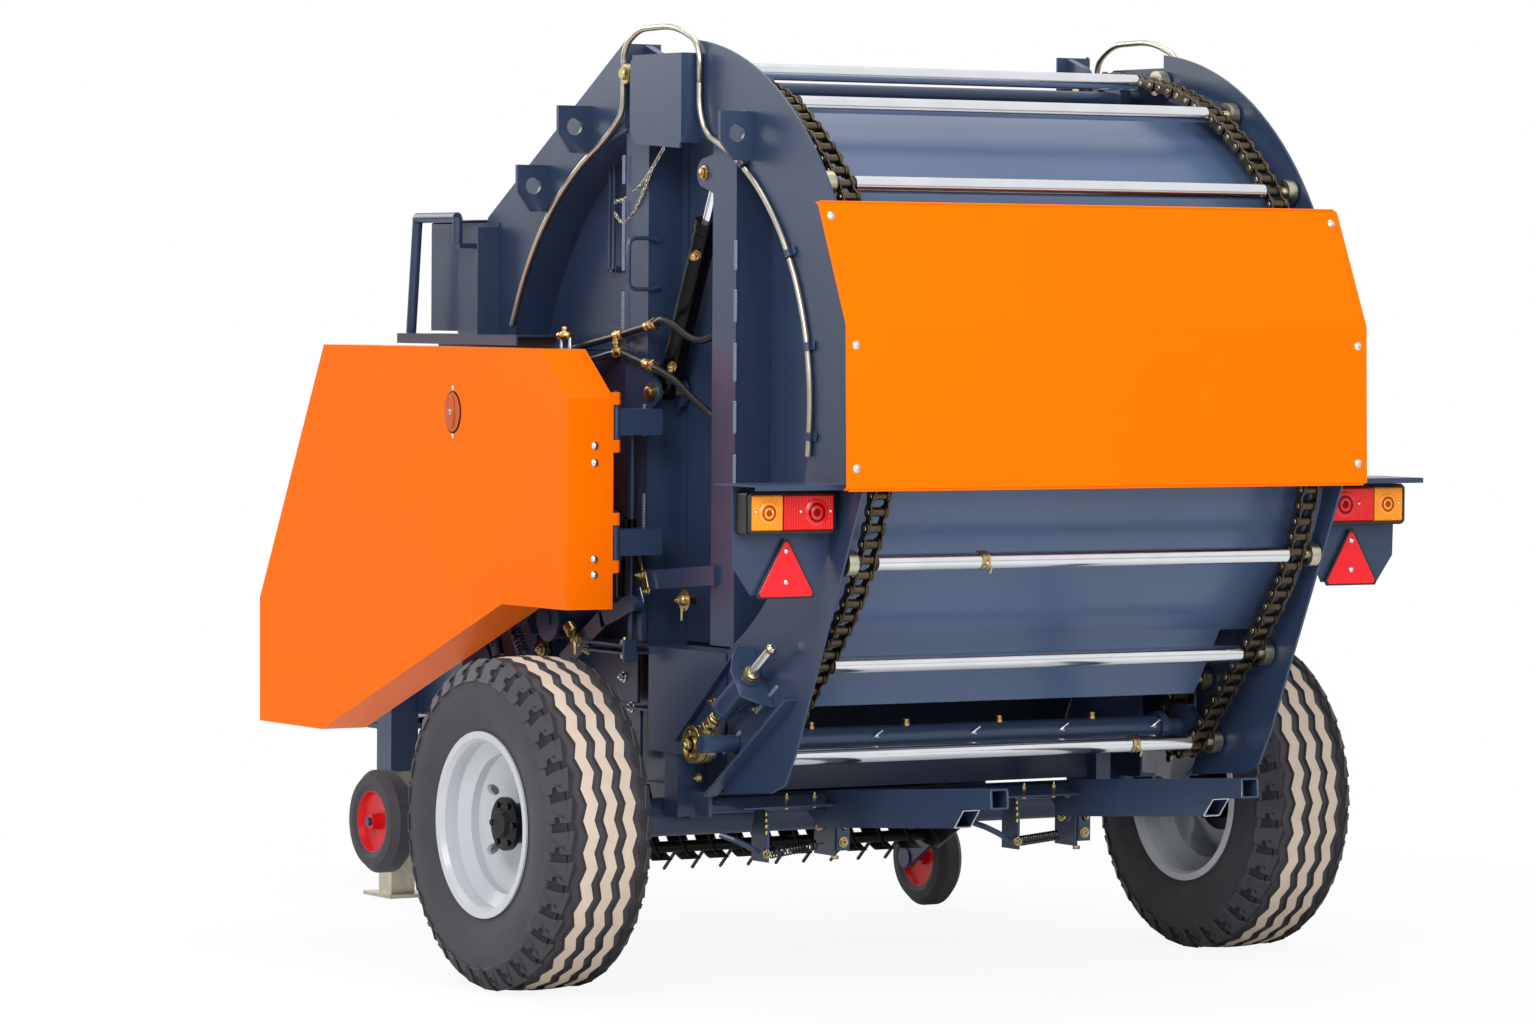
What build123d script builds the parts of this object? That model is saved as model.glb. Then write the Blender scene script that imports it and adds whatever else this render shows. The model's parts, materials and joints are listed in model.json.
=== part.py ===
"""Round baler, a towed machine: chassis with pickup, chamber with tailgate, slat conveyor.

Millimetres. +X is the way of travel, +Y the machine's left, +Z up, the ground at Z = 0.
Sizes below count X from the wheel axle; shift_x moves the whole to the middle of its length.
"""
from math import acos, asin, atan2, cos, degrees, hypot, pi, radians, sin, sqrt
import os

from build123d import *

# ---------------------------------------------------------------- running gear
tyre_od = 760.0
tyre_width = 264.0
rim_flange_d = 424.0
rim_width = 245.0
rim_wall = 5.0
disc_hole_c = 136.0
disc_hole_r = 13.0
track_width = 1942.0
axle_height = tyre_od / 2
axle_tube_d = 90.0
axle_tube_half = 780.0
spindle_d = 60.0
hub_d = 130.0
hub_bolt_count = 6
fit_gap = 0.3

# ---------------------------------------------------------------- chamber sides
side_plate = 6.0
side_out = 650.0
wall_out = 555.0
ring_c_rear = (-70.0, 1338.0)
ring_r_rear = 622.0
ring_c_front = (-70.0, 1216.0)
ring_r_front = 768.0
edge_c_rear = (-112.0, 1379.0)
edge_r_rear = ring_r_rear + 161
split_x = 0.0
split_gap = 6.0
ring_end_front_x = 136.0
ring_end_rear_x = -186.0
ledge_z = 775.0
cross_x = 820.0
cross_z = 700.0
apron_half = 540.0
apron_bottom_z = 545.0
front_edge_x = 880.0
ring_shoulder = (782.0, 1765.0)
frame_bottom_z = 448.0
box_bottom_z = 535.0
box_front_x = 8.0
recess_x1 = 515.0
frame_rear_x = -335.0
inner_rear_x = -235.0
rear_web_x = -77.0
web_y = wall_out + 45
post_width = 102.0
front_post_x = 31.0
rear_post_x = -368.0
post_wall = 5.0

# ---------------------------------------------------------------- tailgate outline
gate_heel = (-226.0, 450.0)
gate_toe = (-550.0, 474.0)
gate_knee = (-638.0, 578.0)
gate_shoulder = (-905.0, 1164.0)
gate_gap = 10.0

# ---------------------------------------------------------------- hinge and cylinders
hinge_x = 70.0
hinge_z = ring_c_front[1] + ring_r_front + 104
hinge_pin_d = 30.0
cyl_y = 604.0
cyl_base = (11.0, 1358.0)
cyl_eye = (-219.0, 1857.0)
barrel_d = 55.0
barrel_len = 400.0
rod_d = 30.0
eye_d = 38.0
eye_thick = 26.0
cyl_pin_d = 20.0
lug_thick = 8.0
lug_gap = 19.0

# ---------------------------------------------------------------- slat conveyor
chain_pitch = 38.1
chain_in = 556.0
chain_out = 606.0
chain_height = 34.0
chain_plate = 5.0
run_c = (-130.0, 1335.0)
run_r = ring_r_rear + 135
slat_d = 38.0
slat_first_deg = 139.5
slat_step = 8 * chain_pitch
roller_d = 58.0
roller_in = 614.0
roller_out = 638.0
lower_shaft = (-380.0, ring_c_rear[1] - ring_r_rear - 140)
lower_teeth = 10
lower_shaft_end = 742.0
upper_shaft = (-75.0, ring_c_rear[1] + ring_r_rear + 92)
upper_teeth = 9
shaft_d = 40.0
wrap_c = (-100.0, 1337.0)
wrap_r = ring_r_rear + 82
wrap_from_deg = 97.0
wrap_to_deg = 228.0
wrap_foot = (-472.0, 660.0)
wrap_foot_half = 545.0
wrap_wall = 4.0
lower_tube_d = 56.0
lower_tube_half = 517.0

# ---------------------------------------------------------------- rear panel, lamps
panel_half = 702.0
panel_wall = 3.0
panel_top = (-797.0, 1782.0)
panel_fold = (-914.0, 1520.0)
panel_foot = (-922.0, 1164.0)
panel_lip = 12.0
lamp_x = -820.0
lamp_in = 664.0
lamp_out = 890.0
lamp_z = 1063.0
lamp_h = 94.0
lamp_depth = 52.0
hood_z = 1172.0
hood_front_x = -700.0
hood_rear_x = -872.0
plaque_z = 930.0
plaque_wall = 4.0
triangle_side = 150.0
triangle_z = 925.0

# ---------------------------------------------------------------- side covers
cover_out = 900.0
cover_in = 780.0
cover_wall = 3.0
cover_hinge = (-34.0, 766.0)
cover_hinge_z = (1015.0, 1290.0)
hinge_barrel_r = 11.0

# ---------------------------------------------------------------- pickup
pickup_pivot = (250.0, 620.0)
pickup_pin_d = 32.0
reel_c = (600.0, 335.0)
reel_tip_r = 180.0
reel_bar_r = 95.0
reel_bar_d = 28.0
reel_shaft_d = 44.0
reel_half = 520.0
reel_bars = 4
tine_pitch = 80.0
tine_d = 6.0
tine_lead_deg = 17.0
first_bar_deg = 15.0
stripper_r = 130.0
stripper_wall = 3.0
pickup_wall = 6.0
pickup_half = 538.0
gauge_od = 250.0
gauge_width = 75.0
gauge_rim_d = 150.0
gauge_axle_d = 20.0
gauge_y = 815.0
gauge_left = (998.0, 300.0)
gauge_right = (1077.0, 138.0)

# ---------------------------------------------------------------- drawbar, jack, gearbox
hitch_x = 2650.0
hitch_z = 480.0
hitch_eye_bore = 50.0
hitch_eye_od = 110.0
hitch_eye_thick = 40.0
bar_height = 120.0
bar_width = 80.0
bar_wall = 8.0
jack_x = 2030.0
jack_y = 226.0
jack_tube = 80.0
jack_wall = 5.0
gearbox_x = 1180.0
gearbox_z = 785.0
input_shaft_d = 35.0
input_shaft_len = 80.0
drive_y = 712.0

# ---------------------------------------------------------------- twine box, ramp
box_x0 = 800.0
box_x1 = 1080.0
box_z0 = 1490.0
box_z1 = 1750.0
box_half = side_out - side_plate
box_wall = 3.0
ramp_pivot = (-190.0, 418.0)
ramp_half = 620.0
ramp_pin_d = 20.0
rail_y = 338.0
rail_size = 45.0
rail_start = (-300.0, 430.5)
rail_end = (-980.0, 483.0)
rail_wall = 4.0
low_rail_height = 41.0
low_rail_fore = (-248.0, 33.0)
low_rail_aft = (-851.0, 18.0)
stop_x = -300.0
stop_y = -429.0
stop_size = 40.0
stop_top_z = 530.0

# ---------------------------------------------------------------- tensioner, conduit
tensioner_tip = (-622.0, 675.0, 810.0)
conduit_d = 14.0
loop_top_z = hinge_z + 102
clip_x = 118.0
loop_rear_x = -222.0

rear_x = rail_end[0]
shift_x = -(hitch_x + rear_x) / 2


# ---------------------------------------------------------------- helpers
def face_of(start, *steps):
    """Flat face from a start point; a step is a point, or (middle, end) of an arc."""
    edges = []
    last = start
    for step in steps:
        if isinstance(step[0], tuple):
            edges.append(ThreePointArc(last, step[0], step[1]))
            last = step[1]
        else:
            edges.append(Line(last, step))
            last = step
    if hypot(last[0] - start[0], last[1] - start[1]) > 1e-6:
        edges.append(Line(last, start))
    return Face(Wire(edges))


def slab_xz(flat, y0, y1):
    """A flat face drawn in X and Z, as a plate from y0 to y1."""
    placed = Plane((0, y0, 0), x_dir=(1, 0, 0), z_dir=(0, -1, 0)) * flat
    return extrude(placed, y1 - y0, dir=(0, 1, 0))


def slab_yz(flat, x0, x1):
    """A flat face drawn in Y and Z, as a plate from x0 to x1."""
    placed = Plane((x0, 0, 0), x_dir=(0, 1, 0), z_dir=(1, 0, 0)) * flat
    return extrude(placed, x1 - x0, dir=(1, 0, 0))


def block(x0, x1, y0, y1, z0, z1):
    """A block between two corners."""
    return Pos((x0 + x1) / 2, (y0 + y1) / 2, (z0 + z1) / 2) * Box(
        abs(x1 - x0), abs(y1 - y0), abs(z1 - z0)
    )


def bar(p, q, r):
    """A round bar of radius r from p to q."""
    axis = Vector(*q) - Vector(*p)
    return Solid.make_cylinder(r, axis.length, Plane(origin=p, z_dir=axis))


def pipe(p, q, r, wall):
    """A round tube from p to q."""
    return bar(p, q, r) - bar(p, q, r - wall)


def bar_y(centre, r, y0, y1):
    """A round bar along Y at centre (x, z)."""
    return bar((centre[0], y0, centre[1]), (centre[0], y1, centre[1]), r)


def beam(p, q, width, height, wall=0.0):
    """A rectangular tube from p to q, width along Y for a run in the XZ plane; solid if wall is 0."""
    axis = Vector(*q) - Vector(*p)
    across = Vector(0, 1, 0) if abs(axis.normalized().Y) < 0.99 else Vector(1, 0, 0)
    plane = Plane(origin=p, x_dir=across, z_dir=axis)
    solid = extrude(plane * Rectangle(width, height), axis.length, dir=axis)
    if wall:
        solid -= extrude(plane * Rectangle(width - 2 * wall, height - 2 * wall), axis.length, dir=axis)
    return solid


def polar(centre, r, deg):
    """The point at radius r and angle deg about centre."""
    return (centre[0] + r * cos(radians(deg)), centre[1] + r * sin(radians(deg)))


def sector(centre, r0, r1, deg0, deg1):
    """Flat face between two radii and two angles."""
    mid = (deg0 + deg1) / 2
    return face_of(
        polar(centre, r0, deg0),
        polar(centre, r1, deg0),
        (polar(centre, r1, mid), polar(centre, r1, deg1)),
        polar(centre, r0, deg1),
        (polar(centre, r0, mid), polar(centre, r0, deg0)),
    )


def hole(x, z, r):
    """A disc to cut from a flat face."""
    return Pos(x, z) * Circle(r)


def on_circle(centre, r, x=None, z=None, sign=1):
    """The other coordinate of a circle's point, on the side that sign gives."""
    if x is not None:
        return centre[1] + sign * sqrt(r * r - (x - centre[0]) ** 2)
    return centre[0] + sign * sqrt(r * r - (z - centre[1]) ** 2)


def angle_of(centre, point):
    """The angle of a point about centre, from 0 to 360 degrees."""
    return degrees(atan2(point[1] - centre[1], point[0] - centre[0])) % 360


def mirrored(shape):
    """The same shape on the machine's right."""
    return mirror(shape, about=Plane.XZ)


def as_is(shape):
    """The same shape, on the machine's left."""
    return shape


def both(shape):
    """The shape on the left and on the right."""
    return [shape, mirrored(shape)]


def fused(*shapes):
    """One body of several shapes that touch."""
    flat = []
    for shape in shapes:
        flat.extend(shape if isinstance(shape, (list, tuple)) else [shape])
    return flat[0].fuse(*flat[1:]) if len(flat) > 1 else flat[0]


nodes = {}


def keep(name, *shapes):
    """Keep a node: its solids, moved to the middle of the machine's length."""
    solids = []
    for shape in shapes:
        for one in shape if isinstance(shape, (list, tuple)) else [shape]:
            solids.extend(one.solids())
    nodes[name] = Pos(shift_x, 0, 0) * Compound(children=solids)


# ---------------------------------------------------------------- wheels
def tyre(od, width, bead_d, crown_drop, tread_half):
    """A tyre about the Y axis: beads, bulged walls, shoulders and a slightly crowned tread."""
    half = width / 2
    top = od / 2
    bead = bead_d / 2
    rise = top - bead
    right = [
        (bead, half * 0.80),
        (bead + rise * 0.11, half * 0.90),
        (bead + rise * 0.45, half),
        (bead + rise * 0.80, half * 0.93),
        (top - crown_drop, tread_half),
        (top, tread_half * 0.45),
    ]
    left = [(r, -y) for r, y in reversed(right)]
    inner = [(bead + 12, -half * 0.70), (bead + 12, half * 0.70)]
    flat = Polygon(*right, *left, *inner, align=None)
    return revolve(flat, Axis.Y)


def wheel_rim():
    """The disc wheel: flanges, well, dished disc, with its bolt holes."""
    fr = rim_flange_d / 2
    hw = rim_width / 2
    w = rim_wall
    tyre_side = [
        (fr, hw - 5), (fr - 14, hw - 5.5), (fr - 18, hw - 10), (fr - 18, hw - 46), (fr - 48, hw - 66),
        (fr - 48, 80 - hw), (fr - 18, 60 - hw), (fr - 18, 10 - hw), (fr - 14, 5.5 - hw), (fr, 5 - hw),
    ]
    air_side = [
        (fr, -hw), (fr - 16, -hw), (fr - 18 - w, 12 - hw), (fr - 18 - w, 58 - hw), (fr - 48 - w, 78 - hw),
        (fr - 48 - w, hw - 64), (fr - 18 - w, hw - 44), (fr - 18 - w, hw - 12), (fr - 16, hw), (fr, hw),
    ]
    rim = revolve(Polygon(*tyre_side, *air_side, align=None), Axis.Y)
    disc = [
        (fr - 50, 40), (150, 34), (118, 12), (70, 12), (hub_d / 2 - 18, 12), (hub_d / 2 - 18, 4),
        (70, 4), (121, 4), (153, 26), (fr - 50, 32),
    ]
    disc_solid = revolve(Polygon(*disc, align=None), Axis.Y)
    body = rim + disc_solid
    for k in range(hub_bolt_count):
        a = 2 * pi * (k + 0.5) / hub_bolt_count
        body -= bar((disc_hole_c * cos(a), 0, disc_hole_c * sin(a)),
            (disc_hole_c * cos(a), 60, disc_hole_c * sin(a)), disc_hole_r)
    return body


def wheel_hub():
    """Hub barrel, flange with wheel bolts, and the bolted cap."""
    barrel = revolve(
        Polygon(
            (spindle_d / 2 + fit_gap, -70), (hub_d / 2 - 12, -70), (hub_d / 2, -50), (hub_d / 2, -10),
            (hub_d / 2 + 28, -8), (hub_d / 2 + 28, 3.6), (hub_d / 2 - 19, 3.6), (hub_d / 2 - 19, 46),
            (hub_d / 2 - 4, 50), (hub_d / 2 - 4, 62), (34, 66), (26, 74), (0, 74), (0, 44),
            (spindle_d / 2 + fit_gap, 44), align=None,
        ),
        Axis.Y,
    )
    bolts = []
    for k in range(hub_bolt_count):
        a = 2 * pi * k / hub_bolt_count
        x, z = 48 * cos(a), 48 * sin(a)
        bolts.append(bar((x, 60, z), (x, 69, z), 7))
    return fused(barrel, bolts)


def make_wheels():
    """Both road wheels, turning on the axle's spindles."""
    place = Pos(0, track_width / 2, axle_height)
    bead_d = rim_flange_d - 36 + 2 * fit_gap
    parts = {
        "tyre": tyre(tyre_od, tyre_width, bead_d, 9.0, tyre_width * 0.42),
        "rim": wheel_rim(),
        "hub": wheel_hub(),
    }
    for name, shape in parts.items():
        keep(f"{name}_left", place * shape)
        keep(f"{name}_right", Rot(0, 0, 180) * place * shape)


# ---------------------------------------------------------------- chassis
def make_chassis():
    """Axle tube with spindles, saddles, side boxes under the chamber and cross members."""
    axle = pipe((0, -axle_tube_half, axle_height), (0, axle_tube_half, axle_height), axle_tube_d / 2, 8)
    spindle = fused(
        bar((0, axle_tube_half - 40, axle_height), (0, axle_tube_half + 12, axle_height),
            axle_tube_d / 2 - 8),
        bar((0, axle_tube_half, axle_height), (0, track_width / 2 + 40, axle_height), spindle_d / 2),
    )
    saddle = slab_xz(
        face_of((-110, frame_bottom_z), (110, frame_bottom_z), (75, 380), (-75, 380)),
        wall_out + 20, wall_out + 32,
    )
    plate = slab_xz(
        face_of(
            (inner_rear_x, frame_bottom_z), (620, frame_bottom_z), (front_edge_x - 30, 640),
            (front_edge_x - 30, ledge_z - 6), (inner_rear_x, ledge_z - 6),
        ),
        wall_out + side_plate, wall_out + 2 * side_plate,
    )
    floor_low = block(
        recess_x1 - 15, 620, wall_out, side_out - side_plate, frame_bottom_z, frame_bottom_z + side_plate
    )
    seat = block(-125, 125, wall_out, web_y, frame_bottom_z, frame_bottom_z + side_plate)
    rear_web = beam(
        (rear_web_x, web_y, axle_height + 8), (rear_web_x, web_y, ledge_z - side_plate), 76, 60, 5
    )
    fore_web = beam((560, web_y, frame_bottom_z), (560, web_y, ledge_z - side_plate), 76, 60, 5)
    side = fused(plate, floor_low, seat, rear_web, fore_web, saddle)
    cross_rear = beam((-60, -wall_out - 10, 470), (-60, wall_out + 10, 470), 80, 60, 5)
    cross_front = beam((cross_x, 6 - side_out, cross_z), (cross_x, side_out - 6, cross_z), 100, 100, 6)
    apron = block(cross_x - 48, cross_x - 42, -apron_half, apron_half, apron_bottom_z, cross_z - 48)
    px, pz = ramp_pivot
    ear = slab_xz(
        face_of((px - 24, pz - 22), (px - 24, frame_bottom_z), (px + 60, frame_bottom_z), (px + 30, pz - 22)),
        ramp_half - 10, ramp_half,
    )
    ear = fused(ear, block(
        px - 24, px + 60, wall_out + side_plate, ramp_half, frame_bottom_z - 3, frame_bottom_z + 3
    ))
    pin = bar_y(ramp_pivot, ramp_pin_d / 2, ramp_half - 56, ramp_half - 6)
    keep("chassis_frame", fused(axle, both(spindle), both(side), both(ear), both(pin), cross_rear,
        cross_front, apron))


def front_side():
    """The chamber's front side on the left: ring plate, band, recessed wall, post, lugs."""
    z_top = on_circle(ring_c_front, ring_r_front, x=ring_end_front_x)
    x_low = on_circle(ring_c_front, ring_r_front, z=ledge_z)
    deg_low = angle_of(ring_c_front, (x_low, ledge_z)) - 360
    deg_top = angle_of(ring_c_front, (ring_end_front_x, z_top))
    mid = polar(ring_c_front, ring_r_front, (deg_low + deg_top) / 2)
    ring = face_of(
        (ring_end_front_x, 2164),
        ring_shoulder,
        (front_edge_x, 1600), (front_edge_x, 640), (640, frame_bottom_z), (recess_x1, frame_bottom_z),
        (recess_x1, ledge_z - side_plate), (box_front_x, ledge_z - side_plate), (box_front_x, box_bottom_z),
        (frame_rear_x + 50, box_bottom_z), (frame_rear_x, 620), (frame_rear_x, ledge_z), (x_low, ledge_z),
        (mid, (ring_end_front_x, z_top)),
    )
    plate = slab_xz(ring, side_out - side_plate, side_out)
    band = slab_xz(
        sector(ring_c_front, ring_r_front, ring_r_front + side_plate, deg_low, deg_top + 1), wall_out,
            side_out
    )
    ledge = block(frame_rear_x, x_low + 8, wall_out, side_out, ledge_z - side_plate, ledge_z)
    box_front = block(
        box_front_x - side_plate, box_front_x, wall_out + 2 * side_plate, side_out - side_plate,
        box_bottom_z, ledge_z - side_plate,
    )
    x0 = split_x + split_gap / 2
    z1 = on_circle(ring_c_front, ring_r_front + side_plate, x=x0)
    x_bot = on_circle(ring_c_front, ring_r_front + side_plate, z=ledge_z)
    mid_w = polar(ring_c_front, ring_r_front + side_plate, (angle_of(ring_c_front,
        (x_bot, ledge_z)) - 270) / 2)
    wall = slab_xz(
        face_of((x0, ledge_z - 6), (x0, z1), (mid_w, (x_bot, ledge_z)), (x_bot, ledge_z - 6)),
        wall_out - side_plate, wall_out,
    )
    low_wall = slab_xz(
        face_of(
            (inner_rear_x - 10, frame_bottom_z + 60), (inner_rear_x - 10, ledge_z), (x_bot, ledge_z),
            (cross_x - 52, ledge_z), (cross_x - 52, 660), (560, 560), (300, frame_bottom_z + 60),
        ),
        wall_out - side_plate, wall_out,
    )
    post_top = on_circle(ring_c_front, ring_r_front, x=front_post_x + post_width) + 3
    post = block(
        front_post_x, front_post_x + post_width, wall_out, side_out - side_plate, ledge_z, post_top
    ) - block(
        front_post_x + post_wall, front_post_x + post_width - post_wall, wall_out,
            side_out - side_plate - post_wall,
        ledge_z, post_top,
    )
    end_flange = block(ring_end_front_x - 5, ring_end_front_x, wall_out, side_out, post_top - 6, 2160)
    hinge_plate = slab_xz(
        face_of(
            (ring_end_front_x, 1990), (ring_end_front_x, 2160), (hinge_x + 10, 2140),
            ((hinge_x - 34, hinge_z), (hinge_x + 10, 2040)), (ring_end_front_x - 20, 1990),
        )
        - hole(hinge_x, hinge_z, hinge_pin_d / 2),
        wall_out + 25, wall_out + 45,
    )
    tie = block(ring_end_front_x - 5, ring_end_front_x + 40, wall_out + 25, side_out, 2010, 2016)
    lower_lug = slab_xz(
        face_of(
            (front_post_x, cyl_base[1] - 60), (front_post_x, cyl_base[1] + 60),
                (cyl_base[0], cyl_base[1] + 34),
            ((cyl_base[0] - 34, cyl_base[1]), (cyl_base[0], cyl_base[1] - 34)),
        )
        - hole(cyl_base[0], cyl_base[1], cyl_pin_d / 2),
        0, lug_thick,
    )
    lug_in = cyl_y - eye_thick / 2 - lug_gap - lug_thick
    lug_out = side_out - side_plate - lug_thick
    lugs = [Pos(0, lug_in, 0) * lower_lug, Pos(0, lug_out, 0) * lower_lug]
    return fused(plate, band, ledge, box_front, wall, low_wall, post, end_flange, hinge_plate, tie, lugs,
        ring_lugs(True))


def ring_lugs(front):
    """Lifting lugs: plates across the ring's outer face, each with a round hole."""
    lugs = []
    table = ((298, 1965), (492, 1830)) if front else ((-432, 1936),)
    for x, z in table:
        flat = face_of((side_out, z - 55), (side_out, z + 55), (side_out + 85, z + 55),
            (side_out + 85, z - 10),
                       (side_out + 50, z - 55))
        lugs.append(slab_yz(flat - hole(side_out + 42, z + 6, 20), x - 5, x + 5))
    return lugs


def make_front():
    """The chamber's fixed front half."""
    side = front_side()
    keep("front_side_left", side)
    keep("front_side_right", mirrored(side))
    r0 = ring_r_front + side_plate
    half = wall_out - side_plate
    deg0 = angle_of(ring_c_front, (on_circle(ring_c_front, r0, z=820), 820)) - 360
    deg1 = angle_of(ring_c_front, (60, on_circle(ring_c_front, r0, x=60)))
    sheet = slab_xz(sector(ring_c_front, r0 - wrap_wall, r0, deg0, deg1), -half, half)
    ribs = []
    for deg in (66, 42, 15, -12):
        for r, y0, y1 in ((r0 + 23, -half, half), (r0 + 25.5, half, half + 95),
            (r0 + 25.5, -half - 95, -half)):
            c = polar(ring_c_front, r, deg)
            piece = Pos(c[0], (y0 + y1) / 2, c[1]) * Rot(0, -deg, 0) * Box(50, y1 - y0, 50)
            ribs.append(piece)
    keep("front_wrap", fused(sheet, ribs))
    pin = bar((hinge_x, wall_out + 12, hinge_z), (hinge_x, side_out + 26, hinge_z), hinge_pin_d / 2)
    head = bar((hinge_x, side_out + 26, hinge_z), (hinge_x, side_out + 34, hinge_z), hinge_pin_d / 2 + 8)
    base_pin = bar(
        (cyl_base[0], cyl_y - 44, cyl_base[1]), (cyl_base[0], side_out, cyl_base[1]), cyl_pin_d / 2
    )
    base_head = bar(
        (cyl_base[0], side_out - 5, cyl_base[1]), (cyl_base[0], side_out + 4, cyl_base[1]), cyl_pin_d / 2 + 9
    )
    pickup_pin = bar_y(pickup_pivot, pickup_pin_d / 2, pickup_half - 12, half)
    keep("pivot_pins", both(fused(pin, head)), both(fused(base_pin, base_head)), both(pickup_pin))


# ---------------------------------------------------------------- tailgate
def gate_side():
    """The tailgate's left side: ring plate with its lower wing, band, recessed wall, post, hinge arm."""
    top_in = (ring_end_rear_x, on_circle(ring_c_rear, ring_r_rear, x=ring_end_rear_x))
    top_out = (ring_end_rear_x, on_circle(edge_c_rear, edge_r_rear, x=ring_end_rear_x))
    deg_out = angle_of(edge_c_rear, top_out)
    z_end = 1300.0
    rear = (on_circle(edge_c_rear, edge_r_rear, z=z_end, sign=-1), z_end)
    mid_out = polar(edge_c_rear, edge_r_rear, (deg_out + angle_of(edge_c_rear, rear)) / 2)
    foot_z = ledge_z + gate_gap
    foot_in = (on_circle(ring_c_rear, ring_r_rear, z=foot_z, sign=-1), foot_z)
    deg_foot = angle_of(ring_c_rear, foot_in)
    deg_top = angle_of(ring_c_rear, top_in)
    mid_in = polar(ring_c_rear, ring_r_rear, (deg_foot + deg_top) / 2)
    step = frame_rear_x - gate_gap
    flat = face_of(
        top_out, (mid_out, rear), gate_shoulder, gate_knee, (gate_toe[0] - 40, gate_toe[1] + 22),
        (gate_toe[0] + 20, gate_toe[1]), (step + 20, gate_heel[1] + 6), (step, 500), (step, foot_z), foot_in,
        (mid_in, top_in),
    )
    plate = slab_xz(flat - hole(lower_shaft[0], lower_shaft[1], shaft_d / 2 + 4), side_out - side_plate,
        side_out)
    band = slab_xz(
        sector(ring_c_rear, ring_r_rear - side_plate, ring_r_rear, deg_top, deg_foot), wall_out, side_out - 1
    )
    x0 = split_x - split_gap / 2
    z1 = on_circle(ring_c_rear, ring_r_rear, x=x0)
    x_foot = on_circle(ring_c_rear, ring_r_rear, z=foot_z, sign=-1)
    wall = slab_xz(
        face_of((x0, foot_z), (x0, z1), (polar(ring_c_rear, ring_r_rear, 170), (x_foot, foot_z))),
        wall_out - side_plate, wall_out,
    )
    post_top = on_circle(ring_c_rear, ring_r_rear, x=rear_post_x) + 3
    post_bottom = foot_z + 6
    post = block(rear_post_x, rear_post_x + post_width, wall_out, side_out, post_bottom, post_top + 40)
    post -= block(
        rear_post_x + post_wall, rear_post_x + post_width - post_wall, wall_out, side_out - post_wall,
        post_bottom, post_top + 40,
    )
    post &= bar_y(ring_c_rear, ring_r_rear - 1, wall_out - 20, side_out + 20)
    arm_low = 1925.0
    arm_top = 2128.0
    arm = slab_xz(
        face_of((ring_end_rear_x - 14, arm_low - 12), (ring_end_rear_x - 14, arm_top), (8, arm_top),
                (24, arm_top - 20), (24, arm_low + 30), (0, arm_low)),
        side_out + 44, side_out + 50,
    )
    arm_web = block(ring_end_rear_x - 14, 24, side_out - side_plate, side_out + 44, arm_top - 6, arm_top)
    arm_rib = block(ring_end_rear_x - 14, 10, side_out - side_plate, side_out + 44, 2082, 2088)
    arm_back = block(ring_end_rear_x - 20, ring_end_rear_x - 14, side_out - side_plate, side_out + 50,
        arm_low, arm_top)
    knuckle = slab_xz(
        face_of((ring_end_rear_x - 14, arm_low + 20), (ring_end_rear_x - 14, arm_top),
            (hinge_x, hinge_z + 34),
                ((hinge_x + 34, hinge_z), (hinge_x, hinge_z - 34)), (-20, arm_low + 60))
        - hole(hinge_x, hinge_z, hinge_pin_d / 2 + 0.05),
        side_out - side_plate, side_out + 6,
    )
    eye_x, eye_z = cyl_eye
    upper_lug = slab_xz(
        face_of((rear_post_x + post_width, eye_z - 50), (rear_post_x + post_width, eye_z + 44),
                (eye_x, eye_z + 34), ((eye_x + 34, eye_z), (eye_x, eye_z - 34))),
        0, lug_thick,
    )
    lug_in = cyl_y - eye_thick / 2 - lug_gap - lug_thick
    lug_out = side_out - side_plate - lug_thick
    lugs = [Pos(0, lug_in, 0) * upper_lug, Pos(0, lug_out, 0) * upper_lug]
    side_gap = eye_thick / 2 + 2
    stub = [
        bar_y(cyl_eye, cyl_pin_d / 2, lug_in + 1, cyl_y - side_gap),
        bar_y(cyl_eye, cyl_pin_d / 2, cyl_y + side_gap, lug_out + 1),
    ]
    tabs = []
    for z in (1210, 1460, 1560, 1740):
        low, high = (panel_x(z - 20), z - 20), (panel_x(z + 20), z + 20)
        tab = face_of(low, high, (high[0] + 60, high[1]), (low[0] + 60, low[1]))
        tabs.append(slab_xz(tab, side_out - side_plate, side_out))
    return fused(
        plate, band, wall, post, arm, arm_web, arm_rib, arm_back, knuckle, lugs, stub, tabs, ring_lugs(False)
    )


def panel_x(z):
    """X of the rear panel's inner face at a height."""
    low, high = (panel_foot, panel_fold) if z < panel_fold[1] else (panel_fold, panel_top)
    run = (high[0] - low[0]) / (high[1] - low[1])
    return low[0] + run * (z - low[1]) + panel_wall * hypot(1, run)


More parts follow.
